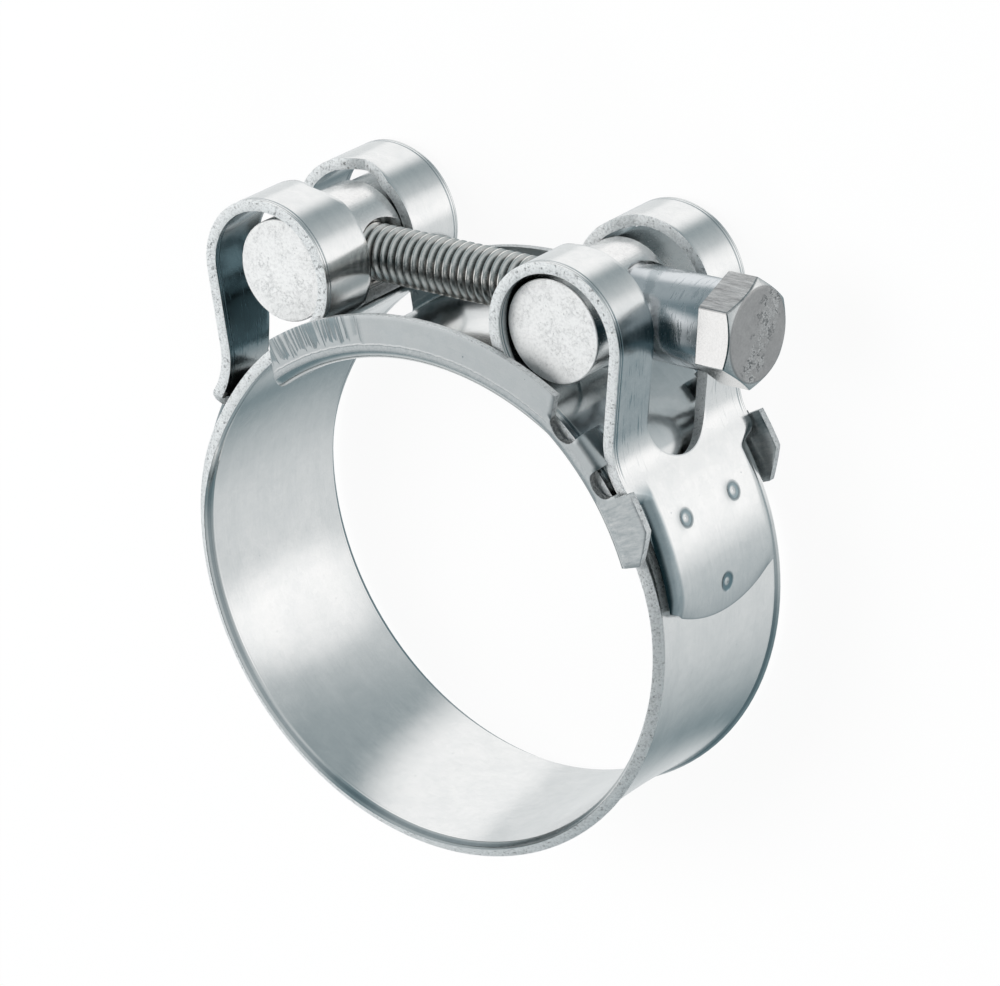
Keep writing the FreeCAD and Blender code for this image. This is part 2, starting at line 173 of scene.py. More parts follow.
def smoothed(piece, degrees=40.0):
    """Smooth shading, except over edges sharper than an angle."""
    alone(piece)
    bpy.ops.object.shade_smooth_by_angle(angle=math.radians(degrees))
    return piece


def evened(piece):
    """Let large flat faces keep their own shading beside small bevels."""
    return modified(piece, "WEIGHTED_NORMAL", mode="FACE_AREA", keep_sharp=True, weight=100)


def with_slots(piece, *names):
    """Give a piece its material slots, before Solidify sends the rim to the second."""
    for name in names:
        material = bpy.data.materials.get(name) or bpy.data.materials.new(name)
        piece.data.materials.append(material)
    return piece


def counted(piece):
    """Print how big a finished piece is."""
    corners = [Vector(corner) for corner in piece.bound_box]
    size = [
        round((max(c[i] for c in corners) - min(c[i] for c in corners)) / MM, 2)
        for i in range(3)
    ]
    print(piece.name, size, "mm,", len(piece.data.polygons), "faces")
    return piece


# %% [markdown]
# ## The strip's route
# The band is rolled from one flat blank. Its middle surface follows arcs and one
# straight run: round the hose, back round the trunnion, down the outer leg, round the
# foot and along the ring again as a welded tongue. Only the right half is laid out,
# because the left half is its mirror image.

# %% The route of the band
WIDTH = 22.0
THICK = 1.2
BORE = 28.0
LIP_SLOPE = math.radians(33.0)
LIP = 0.88                  # width of the ring's turned-out edge
DISH = 0.45                 # the ring's middle lies this much below its ridges
DISH_POWER = 2.2
RIDGE = WIDTH / 2 - LIP * math.cos(LIP_SLOPE) - THICK / 2 * math.sin(LIP_SLOPE)
LOOP = 7.35
LEAN = math.radians(7.0)
FOOT = 8.0
TONGUE_WIDTH = 18.6
TONGUE_END = math.radians(1.5)
TONGUE_BOW = 16.0           # radius of the arc that the tongue's tip is cut to
TONGUE_SLOPE = math.radians(52.0)
TONGUE_BEND = 1.6
TONGUE_FLANK = 0.12
TONGUE_GAP = 0.28
TRUNNION_X = 17.1
TRUNNION = 5.5
SEAT_CLEARANCE = 0.12
SEAT_SLACK = LOOP - THICK / 2 - TRUNNION - SEAT_CLEARANCE
SEAT = math.radians(5.7)

RING = BORE + THICK / 2
TONGUE = (
    BORE + THICK + TONGUE_GAP + TONGUE_BEND * (1 - math.cos(TONGUE_SLOPE))
    + TONGUE_FLANK * math.sin(TONGUE_SLOPE) + THICK / 2 * math.cos(TONGUE_SLOPE)
)
LOOP_X = TRUNNION_X + SEAT_SLACK * math.cos(SEAT)
LOOP_Y = math.sqrt((RING + LOOP) ** 2 - LOOP_X ** 2)
BOLT_Y = LOOP_Y + SEAT_SLACK * math.sin(SEAT)


def around(centre, radius, turn):
    """Point on a circle in the plane across the hose."""
    return Vector((centre[0] + radius * math.cos(turn), centre[1] + radius * math.sin(turn)))


def route_runs():
    """The right half's runs, in order along the strip.

    An arc has its centre, radius, first angle, turn and outer side (1 away from the
    centre). The straight leg has its start, length, direction and outer side.
    """
    loop_centre = Vector((LOOP_X, LOOP_Y))
    ring_end = math.atan2(LOOP_Y, LOOP_X)
    down = Vector((-math.sin(LEAN), -math.cos(LEAN)))
    out = Vector((math.cos(LEAN), -math.sin(LEAN)))
    leave = loop_centre + out * LOOP
    foot_start = leave + out * FOOT
    towards = foot_start.dot(down)
    reach = TONGUE + FOOT
    length = -towards - math.sqrt(towards ** 2 - foot_start.length_squared + reach ** 2)
    foot_centre = foot_start + down * length
    foot_angle = math.atan2(foot_centre.y, foot_centre.x)
    quarter = math.pi / 2
    return {
        "ring": ("arc", Vector((0, 0)), RING, -quarter, ring_end + quarter, 1),
        "loop": ("arc", loop_centre, LOOP, ring_end + math.pi,
                 -(ring_end + math.pi + LEAN), -1),
        "leg": ("line", leave, length, down, -out),
        "foot": ("arc", foot_centre, FOOT, math.pi - LEAN, foot_angle + LEAN, 1),
        "tongue": ("arc", Vector((0, 0)), TONGUE, foot_angle,
                   TONGUE_END - foot_angle, -1),
    }


RUNS = route_runs()
LENGTHS = {
    name: run[2] if run[0] == "line" else run[2] * abs(run[4])
    for name, run in RUNS.items()
}
STARTS = {}
total = 0.0
for name, length in LENGTHS.items():
    STARTS[name] = total
    total += length
HALF_LENGTH = total
print("half of the strip is", round(HALF_LENGTH, 2), "mm long")


def on_route(s):
    """Point of the strip's middle surface and the way its outer side faces there."""
    name = max((n for n in RUNS if STARTS[n] <= s + 1e-9), key=lambda n: STARTS[n])
    run = RUNS[name]
    along = s - STARTS[name]
    if run[0] == "line":
        return run[1] + run[3] * along, run[4]
    turn = run[3] + math.copysign(along / run[2], run[4])
    point = around(run[1], run[2], turn)
    return point, (point - run[1]).normalized() * run[5]


def at_angle(name, degrees):
    """Distance along the route of an angle about a run's centre."""
    run = RUNS[name]
    return STARTS[name] + run[2] * abs(math.radians(degrees) - run[3])


# %% [markdown]
# ## The band's blank
# Like the maker, this lesson first makes the flat blank and rolls it afterwards. A
# quarter of it is enough, from the middle of the ring to one tip and from the centre
# line to one edge. It starts as a grid. Its columns are moved to where the strip bends,
# its rows to where the edges curl, and the faces inside the bolt's window are deleted.
# Each stretch of the strip gets its own count of columns, more where it is curved. Rows
# and columns that run round the window's end keep that end truly round.

# %% Columns and rows of the blank
WINDOW_WIDE = 5.1
WINDOW_NARROW = 3.7
WINDOW_END_Y = BOLT_Y - 4.2
SLOT_END_Y = BOLT_Y - 14.7
WINDOW_TAPER = (126, 98)    # degrees round the loop between which the window widens
WINDOW_CORNER = 0.8         # length of the columns beside the window's square end
ROUND_SHARE = 0.8           # columns go this far into the slot's round end
SLOT_MARGIN = 1.6           # beyond the slot they stand straight again after this
FADE = (3.0, 37.0)          # degrees over which the ring's turned edges fade out
SHOULDER = (32.0, 28.6)     # degrees between which the strip narrows to its tongue
INNER_ROWS = 16
OUTER_ROWS = 12
EDGE_ROWS = 9
ROWS = INNER_ROWS + OUTER_ROWS + EDGE_ROWS


def steps(start, end, count):
    """Evenly spaced values after start, up to and with end."""
    return [start + (end - start) * (i + 1) / count for i in range(count)]


def eased(value, start, end):
    """Smooth step from 0 to 1."""
    t = min(max((value - start) / (end - start), 0.0), 1.0)
    return t * t * (3 - 2 * t)


def s_at_height(name, y):
    """Distance along the route where a run comes down to a height."""
    low, high = STARTS[name], STARTS[name] + LENGTHS[name]
    for _ in range(40):
        middle = (low + high) / 2
        if on_route(middle)[0].y > y:
            low = middle
        else:
            high = middle
    return low


window_start = at_angle("loop", 180 + math.degrees(
    math.asin((LOOP_Y - WINDOW_END_Y) / LOOP)))
taper_narrow, taper_wide = (at_angle("loop", degrees) for degrees in WINDOW_TAPER)
slot_centre = s_at_height("leg", SLOT_END_Y + WINDOW_WIDE)
slot_end = s_at_height("foot", SLOT_END_Y)
slot_reach = slot_end - slot_centre
print("window from", round(window_start, 2), "to", round(slot_end, 2))

columns = [0.0]
columns += steps(0.0, STARTS["loop"], 56)
columns += steps(STARTS["loop"], window_start - WINDOW_CORNER, 6)
columns += [window_start]
first_column = len(columns) - 1
columns += [window_start + WINDOW_CORNER]
columns += steps(window_start + WINDOW_CORNER, taper_narrow, 19)
columns += steps(taper_narrow, taper_wide, 7)
columns += steps(taper_wide, STARTS["leg"], 24)
columns += steps(STARTS["leg"], slot_centre, 8)
round_column = len(columns) - 1
columns += steps(slot_centre, slot_centre + ROUND_SHARE * slot_reach, 12)
last_column = len(columns) - 1
straight_s = slot_end + SLOT_MARGIN
columns += steps(slot_centre + ROUND_SHARE * slot_reach, straight_s, 9)
straight_column = len(columns) - 1
columns += steps(straight_s, HALF_LENGTH, 54)
print(len(columns), "columns and", ROWS + 1, "rows")


# %% [markdown]
# ## Cross-sections
# On the ring the strip is faintly dished and both its edges turn outwards at a crisp
# ridge. On the loops, the leg and the foot it is flat. On the tongue it is narrower and
# its edges turn down onto the ring in a wide bend. Each row has its place in each of the
# three sections, and a column mixes them by where it is.

# %% Sections of the strip
def bent_edge(half):
    """Places (across, height) of the edge rows of the tongue: a wide bend and a flank."""
    start = half - TONGUE_FLANK * math.cos(TONGUE_SLOPE) - (
        TONGUE_BEND + THICK / 2) * math.sin(TONGUE_SLOPE)
    places = []
    for turn in steps(0.0, TONGUE_SLOPE, EDGE_ROWS - 1):
        places.append((start + TONGUE_BEND * math.sin(turn),
                       TONGUE_BEND * (1 - math.cos(turn))))
    across, height = places[-1]
    places.append((across + TONGUE_FLANK * math.cos(TONGUE_SLOPE),
                   height + TONGUE_FLANK * math.sin(TONGUE_SLOPE)))
    return start, places


RIDGE_ROOM = 0.25           # the flat rows stop this far before the ridge
LIP_START = 0.15            # the rows past the ridge are spaced from this share of the lip
EDGE_PLAY = 0.02            # between the tongue's edge and the ring's ridge
RING_FLAT = RIDGE - RIDGE_ROOM
RING_EDGE = [(RIDGE, 0.0)] + [
    (RIDGE + reach * math.cos(LIP_SLOPE), reach * math.sin(LIP_SLOPE))
    for reach in steps(LIP * LIP_START, LIP, EDGE_ROWS - 1)
]
PLAIN_EDGE = [(across, 0.0) for across in steps(RING_FLAT, WIDTH / 2, EDGE_ROWS)]
TONGUE_FLAT, TONGUE_EDGE = bent_edge(TONGUE_WIDTH / 2)
print("flat up to", round(RING_FLAT, 2), "on the ring,",
      round(TONGUE_FLAT, 2), "on the tongue")


def dished(across):
    """How far the ring's section rises from its middle towards its ridges."""
    return DISH * min(across / RIDGE, 1.0) ** DISH_POWER


def section_place(s, row):
    """Across and height of a row, away from any window."""
    ring_angle = math.degrees(min(s, STARTS["loop"]) / RING) - 90
    lip = 1 - eased(ring_angle, *FADE)
    foot_angle = math.degrees(RUNS["tongue"][3] - max(s - STARTS["tongue"], 0) / TONGUE)
    tongue = 1 - eased(foot_angle, SHOULDER[1], SHOULDER[0])
    if s < STARTS["tongue"]:
        tongue = 0.0
    flat = RING_FLAT + (TONGUE_FLAT - RING_FLAT) * tongue
    if row <= INNER_ROWS + OUTER_ROWS:
        across = flat * row / (INNER_ROWS + OUTER_ROWS)
        return across, dished(across) * lip
    edge = row - INNER_ROWS - OUTER_ROWS - 1
    across, height = PLAIN_EDGE[edge]
    ring_across, ring_height = RING_EDGE[edge]
    tongue_across, tongue_height = TONGUE_EDGE[edge]
    across += (ring_across - across) * lip + (tongue_across - across) * tongue
    height += (ring_height - height) * lip + (tongue_height - height) * tongue
    if s >= STARTS["tongue"]:
        raised = dished(TONGUE_WIDTH / 2) * (1 - eased(foot_angle, *FADE))
        share = (edge + 1) / EDGE_ROWS
        height += max(TONGUE_GAP - raised - EDGE_PLAY, 0.0) * tongue * share ** 3
    return across, height + dished(across) * lip


def window_half(s):
    """Half width of the bolt's window along its straight sides."""
    t = min(max((s - taper_narrow) / (taper_wide - taper_narrow), 0.0), 1.0)
    return WINDOW_NARROW + (WINDOW_WIDE - WINDOW_NARROW) * t


def blank_place(column, row):
    """Distance along, across and height of one grid point of the blank."""
    s = columns[column]
    across, height = section_place(s, row)
    top = INNER_ROWS + OUTER_ROWS
    flat = section_place(s, top)[0]
    eighth = math.pi / 4
    if first_column <= column <= last_column:
        side_s, side_half = s, window_half(s)
        if column > round_column:
            turn = eighth * (column - round_column) / (last_column - round_column)
            side_s = slot_centre + slot_reach * math.sin(turn)
            side_half = WINDOW_WIDE * math.cos(turn)
        if row > INNER_ROWS:
            t = min((row - INNER_ROWS) / (top - INNER_ROWS), 1.0)
            if row <= top:
                across = side_half + (flat - side_half) * t
            return side_s + (s - side_s) * t, across, height
        if column == last_column:
            turn = 2 * eighth - eighth * row / INNER_ROWS
            return (slot_centre + slot_reach * math.sin(turn),
                    WINDOW_WIDE * math.cos(turn), height)
        across = side_half * row / INNER_ROWS
        return side_s, across, height
    if last_column < column < straight_column:
        t = (column - last_column) / (straight_column - last_column)
        from_s, from_across, _ = blank_place(last_column, row)
        span = straight_s - from_s
        if row <= top:
            across = from_across + (across - from_across) * eased(t, 0.0, 1.0)
        return from_s + span * t, across, height
    return s, across, height


# %% [markdown]
# ## Spot welds and the bowed tip
# Three electrodes pressed the tongue onto the ring and left a shallow dent each. The tip
# is bowed, so the last columns lean back at their edges, and it bends down to the ring.

# %% Weld marks
WELDS = [(22.2, 4.15), (7.0, 0.0)]      # degrees round the ring, and off the centre line
CRATER = 1.15
CRATER_DEPTH = 0.24
TIP_BEND = 7.0              # the last stretch of the tongue, which bends down
TIP_DROP = 0.72
TIP_POWER = 2.6
TIP_ARC = 4.0               # stretch over which the columns lean back to the tip's arc


def pressed_in(s, across):
    """How far the electrodes, or the tip's own bend, bring the tongue towards the ring."""
    dip = 0.0
    for degrees, weld_across in WELDS:
        weld_s = at_angle("tongue", degrees)
        off = math.hypot(s - weld_s, across - weld_across)
        dip += CRATER_DEPTH * math.exp(-((off / CRATER) ** 2))
    tip = max(1 - (HALF_LENGTH - s) / TIP_BEND, 0.0) ** TIP_POWER
    return dip + TIP_DROP * tip * (1 - eased(across, TONGUE_FLAT, TONGUE_WIDTH / 2 - 0.4))


def tip_lean(s, across):
    """The tongue's tip is an arc in the flat blank."""
    fall = TONGUE_BOW - math.sqrt(TONGUE_BOW ** 2 - across ** 2)
    start = HALF_LENGTH - TIP_ARC
    share = min(max((s - start) / (HALF_LENGTH - start), 0.0), 1.0)
    return s - fall * share


def rolled(s, across, height):
    """A point of the blank, rolled onto the clamp."""
    point, out = on_route(s)
    place = point + out * height
    return Vector((place.x, place.y, across)) * MM


# %% [markdown]
# ## Rolling the band
# The grid's points are moved onto the route. Then two mirrors make the whole strip, and
# the slot in the far leg is drawn in, because it is narrower than the near one. Solidify
# gives the sheet its thickness about the middle surface, and a small bevel takes the
# sharpness off the sheared edges. The rim gets its own finish, because a sheared edge is
# rougher than the plated face.

# %% A grid as a blank
MAP_UNIT = 100.0            # millimetres of the strip to one unit of its map


def blank_grid(name, column_count, row_count, placed):
    """A grid moved to its places and mapped along and across the strip.

    Returned with the column and row of each point.
    """
    piece = added(name, bpy.ops.mesh.primitive_grid_add, size=2.0,
                  x_subdivisions=column_count - 1, y_subdivisions=row_count - 1)
    grid = {}
    on_map = {}
    for vertex in piece.data.vertices:
        column = round((vertex.co.x + 1) / 2 * (column_count - 1))
        row = round((vertex.co.y + 1) / 2 * (row_count - 1))
        grid[vertex.index] = (column, row)
        vertex.co, on_map[vertex.index] = placed(column, row)
    strip_map = piece.data.uv_layers[0]
    strip_map.name = "strip"
    for loop in piece.data.loops:
        along, across = on_map[loop.vertex_index]
        strip_map.data[loop.index].uv = (along / MAP_UNIT, across / MAP_UNIT)
    return piece, grid


def without_faces(piece, is_out):
    """Delete the faces for which a test holds."""
    bpy.context.scene.tool_settings.mesh_select_mode = (False, False, True)
    alone(piece)
    for polygon in piece.data.polygons:
        polygon.select = is_out(polygon)
    bpy.ops.object.mode_set(mode="EDIT")
    bpy.ops.mesh.delete(type="FACE")
    bpy.ops.object.mode_set(mode="OBJECT")


def without_cells(piece, grid, is_out):
    """Delete the cells of a grid that the blank doesn't have."""
    def cell_is_out(polygon):
        cell_columns = [grid[v][0] for v in polygon.vertices]
        cell_rows = [grid[v][1] for v in polygon.vertices]
        return is_out(min(cell_columns), max(cell_columns), max(cell_rows))

    without_faces(piece, cell_is_out)


def in_window(column_a, column_b, row_b):
    """Whether a cell of the band's grid lies in the bolt's window."""
    return column_a >= first_column and column_b <= last_column and row_b <= INNER_ROWS


def thickened(piece, thickness, bevel, corner):
    """Give a sheet its thickness and ease its sheared edges."""
    edited(piece, doubles_merged, faces_outwards)
    modified(piece, "SOLIDIFY", thickness=thickness * MM, offset=0.0, use_even_offset=True,
             use_rim=True, material_offset_rim=1)
    modified(piece, "BEVEL", width=bevel * MM, segments=2, limit_method="ANGLE",
             angle_limit=math.radians(corner), use_clamp_overlap=True)
    return piece


# %% Make the band
WINDOW_ROUND = 0.25         # the corner of the window's square end is taken off by this
FAR_SLOT_STEP = 1.2         # the slot in the far leg is this much narrower at each side
NARROWS_X = (LOOP_X - 2.5, LOOP_X + 1.5)
NARROWS_Y = (SLOT_END_Y + 2, SLOT_END_Y + 8)
OFF_RING = RING + 3         # points further out than this are on the loop or the leg


def band_point(column, row):
    """Where one point of the band's blank ends up, and its place on the map."""
    s, across, height = blank_place(column, row)
    if column == first_column and row == INNER_ROWS:
        s += WINDOW_ROUND
        across -= WINDOW_ROUND
    if s > STARTS["tongue"]:
        height += pressed_in(s, across)
        s = tip_lean(s, across)
    return rolled(s, across, height), (s, across)


band, band_grid = blank_grid("band_strip", len(columns), ROWS + 1, band_point)
without_cells(band, band_grid, in_window)
with_slots(band, "band_zinc", "sheared_edge")
modified(band, "MIRROR", use_axis=(True, False, True), use_clip=True,
         merge_threshold=TOUCHING)
for vertex in band.data.vertices:
    x, y, z = vertex.co / MM
    if x < 0 and math.hypot(x, y) > OFF_RING:
        side = eased(-x, *NARROWS_X) * eased(y, *NARROWS_Y)
        share = min(abs(z) / WINDOW_WIDE, (RING_FLAT - abs(z)) / (RING_FLAT - WINDOW_WIDE))
        vertex.co.z -= math.copysign(FAR_SLOT_STEP * max(share, 0.0) * side * MM, z)
thickened(band, THICK, bevel=0.1, corner=22)
smoothed(band, 34)
counted(band)

# %% [markdown]
# ## How the band bends when the bolt is tightened
# The ring shrinks as its ends come together. Its near end stays with the bridge and its
# far end follows the band's body, so each point takes a share of the motion by how far
# round the ring it is.

# %% The band's share of the motion
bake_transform(band, "bridge", "band", start=(0.03, 0, 0), end=(-0.03, 0, 0))
shares = band.data.attributes["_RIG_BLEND"]
for vertex in band.data.vertices:
    x, y, _ = vertex.co
    if y >= 0:
        share = 0.0 if x > 0 else 1.0
    else:
        share = -math.atan2(y, x) / math.pi
    shares.data[vertex.index].value = share
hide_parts("band")

# %% [markdown]
# ## The bolt
# A hex bolt threaded to its head. One turn of the thread is drawn as a short profile
# and the Screw modifier repeats it round the axis. The ends are cut square and the tip
# is turned down to a small chamfer, so the first threads fade as on a real bolt.

# %% Make the bolt
THREAD = 3.0
PITCH = 1.0
THREAD_DEPTH = 0.60
CREST_EASE = 0.04
THREAD_TURNS = 58
LEAD_IN = 1.52              # the thread starts this far beyond the tip and is cut back
TIP_CHAMFER = 0.9
BOLT_LENGTH = 55.0
SEAT_X = 31.1
BOLT_TIP = SEAT_X - BOLT_LENGTH
INTO_HEAD = 0.2             # the shank ends inside the head
AXIS = Vector((0.0, BOLT_Y, 0.0)) * MM
ALONG_X = (0.0, math.pi / 2, 0.0)


def profile_line(name, places):
    """An open outline of a turned or threaded piece: x along the bolt, y off its axis."""
    piece = added(name, bpy.ops.mesh.primitive_plane_add, size=1.0)
    bpy.context.scene.tool_settings.mesh_select_mode = (True, False, False)
    edited(piece, lambda: bpy.ops.mesh.merge(type="CENTER"))
    alone(piece)
    piece.data.vertices[0].co = Vector((places[0][0], places[0][1], 0)) * MM
    bpy.ops.object.mode_set(mode="EDIT")
    bpy.ops.mesh.select_all(action="SELECT")
    for before, after in zip(places, places[1:]):
        step = (Vector((after[0], after[1], 0)) - Vector((before[0], before[1], 0))) * MM
        bpy.ops.mesh.extrude_vertices_move(TRANSFORM_OT_translate={"value": step})
    bpy.ops.object.mode_set(mode="OBJECT")
    return piece


def placed_on_bolt(piece):
    """Move a piece made on the X axis up to the bolt's centre line."""
    piece.location = AXIS
    return settled(piece)


def turned(name, places, count=64):
    """A lathe piece about the bolt's axis, from its outline."""
    piece = profile_line(name, places)
    modified(piece, "SCREW", axis="X", steps=count, render_steps=count,
             use_merge_vertices=True, merge_threshold=TOUCHING)
    edited(piece, doubles_merged, faces_outwards)
    return placed_on_bolt(piece)


def cut_square(x, **cleared_side):
    """Edit-mode step: cut across the bolt's axis, close the cut, select all again."""
    bpy.ops.mesh.bisect(plane_co=(x * MM, 0, 0), plane_no=(1, 0, 0), use_fill=True,
                        threshold=0.1 * TOUCHING, **cleared_side)
    bpy.ops.mesh.select_all(action="SELECT")


tooth = [
    (0.0, THREAD - THREAD_DEPTH), (0.14, THREAD - THREAD_DEPTH), (0.44, THREAD - CREST_EASE),
    (0.50, THREAD), (0.64, THREAD), (0.70, THREAD - CREST_EASE),
    (PITCH, THREAD - THREAD_DEPTH),
]
bolt = profile_line("bolt_thread", tooth)
modified(bolt, "SCREW", axis="X", angle=2 * math.pi, screw_offset=PITCH * MM,
         iterations=THREAD_TURNS, steps=36, render_steps=36, use_merge_vertices=True,
         merge_threshold=TOUCHING)
bolt.location = Vector((BOLT_TIP - LEAD_IN, 0, 0)) * MM
settled(bolt)
edited(bolt, doubles_merged, lambda: cut_square(BOLT_TIP, clear_inner=True),
       lambda: cut_square(SEAT_X + INTO_HEAD, clear_outer=True), faces_outwards)
for vertex in bolt.data.vertices:
    from_tip = vertex.co.x / MM - BOLT_TIP
    if from_tip < TIP_CHAMFER:
        off_axis = math.hypot(vertex.co.y, vertex.co.z) / MM
        allowed = THREAD - TIP_CHAMFER + max(from_tip, 0)
        if off_axis > allowed:
            vertex.co.y *= allowed / off_axis
            vertex.co.z *= allowed / off_axis
placed_on_bolt(bolt)
smoothed(bolt, 50)
counted(bolt)

# %% [markdown]
# ## The bolt's head
# A forged hex head is a six-sided bar whose corners are turned off in a lathe. So a cone
# is made over a six-sided cylinder, and only what lies in both is kept.

# %% Make the hex head
HEAD_FLATS = 10.0
HEAD_HEIGHT = 4.0
HEAD_TURN = math.radians(-9.0)
HEAD_FACE = 4.75            # radius of the flat end face
HEAD_CHAMFER = math.radians(30.0)
HEAD_CENTRE = ((SEAT_X + HEAD_HEIGHT / 2) * MM, 0, 0)

head = added("bolt_head", bpy.ops.mesh.primitive_cylinder_add, vertices=6,
             radius=HEAD_FLATS / math.sqrt(3) * MM, depth=HEAD_HEIGHT * MM,
             location=HEAD_CENTRE, rotation=ALONG_X)
corner = min(head.data.vertices, key=lambda v: abs(math.atan2(v.co.z, v.co.y)))
head.rotation_euler.x = HEAD_TURN - math.atan2(corner.co.z, corner.co.y)
settled(head)
spread = HEAD_HEIGHT / math.tan(HEAD_CHAMFER)
cone = added("head_cone", bpy.ops.mesh.primitive_cone_add, vertices=96,
             radius1=(HEAD_FACE + spread) * MM, radius2=HEAD_FACE * MM,
             depth=HEAD_HEIGHT * MM, location=HEAD_CENTRE, rotation=ALONG_X)
cut_by(head, cone, "INTERSECT")
modified(head, "BEVEL", width=0.12 * MM, segments=3, limit_method="ANGLE",
         angle_limit=math.radians(20))
placed_on_bolt(head)
smoothed(head)
evened(head)
counted(head)

# %% [markdown]
# ## Sleeve and trunnions
# The sleeve is a turned tube. A trunnion is a round bar across the band, cross-drilled
# for the bolt: threaded in the far one, and plain with a pocket in the near one.

# %% Make the sleeve
SLEEVE = 4.7
SLEEVE_BORE = 3.2
POCKET = 2.2
EASE = 0.18
FACE_PLAY = 0.04            # between the sleeve's ends and what they face
sleeve_start = TRUNNION_X + TRUNNION - POCKET + FACE_PLAY
sleeve_end = SEAT_X - FACE_PLAY
sleeve = turned("sleeve", [
    (sleeve_start, SLEEVE_BORE), (sleeve_start, SLEEVE - EASE),
    (sleeve_start + EASE * 0.3, SLEEVE - EASE * 0.3), (sleeve_start + EASE, SLEEVE),
    (sleeve_end - EASE, SLEEVE), (sleeve_end - EASE * 0.3, SLEEVE - EASE * 0.3),
    (sleeve_end, SLEEVE - EASE), (sleeve_end, SLEEVE_BORE),
    (sleeve_start, SLEEVE_BORE),
])
smoothed(sleeve)
counted(sleeve)

# %% Make the trunnions
BAR_HALF = 9.6
BELLY = 5.88                # between the straps the bar keeps its full, unturned size
BELLY_HALF = 3.4
THROUGH = 8.0               # a drill starts and ends this far from the bar's middle
POCKET_PLAY = 0.2
THREAD_HOLE = THREAD + 0.05
SINK = 0.8                  # the countersink before the thread


def bar(name, x):
    """A round bar across the band, a little thicker between the straps."""
    place = (x * MM, BOLT_Y * MM, 0)
    piece = added(name, bpy.ops.mesh.primitive_cylinder_add, vertices=96,
                  radius=TRUNNION * MM, depth=2 * BAR_HALF * MM, location=place)
    belly = added("belly", bpy.ops.mesh.primitive_cylinder_add, vertices=96,
                  radius=BELLY * MM, depth=2 * BELLY_HALF * MM, location=place)
    cut_by(piece, belly, "UNION")
    return modified(piece, "BEVEL", width=0.3 * MM, segments=3, limit_method="ANGLE",
                    angle_limit=math.radians(60))


def drill(x, depth, radius, radius_end):
    """A drill or countersink along the bolt."""
    return added("drill", bpy.ops.mesh.primitive_cone_add, vertices=64,
                 radius1=radius * MM, radius2=radius_end * MM, depth=depth * MM,
                 location=((x + depth / 2) * MM, BOLT_Y * MM, 0), rotation=ALONG_X)


near = bar("near_trunnion", TRUNNION_X)
cut_by(near, drill(TRUNNION_X - THROUGH, 2 * THROUGH, SLEEVE_BORE, SLEEVE_BORE))
cut_by(near, drill(TRUNNION_X + TRUNNION - POCKET, THROUGH,
                   SLEEVE + POCKET_PLAY, SLEEVE + POCKET_PLAY))
far = bar("far_trunnion", -TRUNNION_X)
cut_by(far, drill(-TRUNNION_X - THROUGH, 2 * THROUGH, THREAD_HOLE, THREAD_HOLE))
mouth_x = -TRUNNION_X + math.sqrt(BELLY ** 2 - THREAD_HOLE ** 2)
cut_by(far, drill(mouth_x - SINK, 2 * SINK, THREAD_HOLE, THREAD_HOLE + 2 * SINK))
for piece in (near, far):
    smoothed(piece)
    evened(piece)
    counted(piece)

# %% [markdown]
# ## The bridge
# The channel under the gap is a stamping: a floor with two walls folded up at its
# edges. It is made like the band, as half a flat grid. The columns run along it and the
# rows run across the floor, round the fold and up the wall. Two notches are left out of
# the wall. The strip of wall between them is rolled over the band's edge as a finger,
# so the finger's rows exist only there. The far finger is narrower than the near one and
# the far tab stands a little further round, as the press left them.

# %% Layout of the bridge
SHEET = 0.8
FLOOR_FIT = 0.08            # between the floor and the band's inner face
FLOOR_IN = BORE - FLOOR_FIT - SHEET
FLOOR = FLOOR_IN + SHEET / 2
TAIL = math.radians(18.0)   # where the channel starts, round the bore
BEND_AT = math.radians(50.0)    # where its free part bends inwards
TIP_IN = math.radians(8.3)  # and by how much
END_AT = math.radians(131.4)    # where the free part ends
END_DROP = 1.93             # between the free end and the band
END_IN = BORE - END_DROP - SHEET
SIDE_PLAY = 0.3
WALL_Z = WIDTH / 2 + SIDE_PLAY + SHEET / 2
FOLD = 0.8
NEAR_NOTCH = math.radians(48.0)
FAR_NOTCH = math.radians(35.2)
NOTCH_HALF = 1.38
NOTCH_LEVEL = 2.0
NOTCH_DEPTH = 1.1
NOTCH_LEAN = 0.25           # the free wall leans over the notch, up to LEAN_END
LEAN_END = 19.0
FINGER_LEVEL = 2.98
FINGER_BEND = 0.7
FINGER_REACH = 3.2
FINGER_STEP = 1.3           # the far finger starts this much later
WALL_TOP = 4.4
LOW_TOP = 2.9
TAB_TOP = 4.85
TAB_FRONT = 2.5
TAB_CORNER = 2.9
TAB_END = 6.5
FREE_WALL = 20.0            # from here on the free wall has evenly spaced columns
END_LEAN = 0.52             # the free end's cut leans back over END_STRETCH
END_STRETCH = 8.0
SKEW = math.radians(1.6)    # the far tab stands this much further round
SKEW_FADE = (32.0, 44.0)

hinge = around((0, 0), FLOOR_IN, BEND_AT)
chord = around((0, 0), END_IN, END_AT) - hinge
free_start = BEND_AT + TIP_IN
free_half = math.atan2(chord.y, chord.x) % (2 * math.pi) - free_start - math.pi / 2
free_radius = chord.length / 2 / math.sin(free_half)
free_centre = hinge - around((0, 0), free_radius, free_start)
FREE = free_radius + SHEET / 2
HINGE_S = FLOOR * (BEND_AT - TAIL)
BRIDGE_LENGTH = HINGE_S + FREE * 2 * free_half
near_notch = FLOOR * (NEAR_NOTCH - TAIL)
far_notch = FLOOR * (FAR_NOTCH - TAIL)
finger_start = far_notch + NOTCH_HALF
print("bridge is", round(BRIDGE_LENGTH, 2), "mm long")


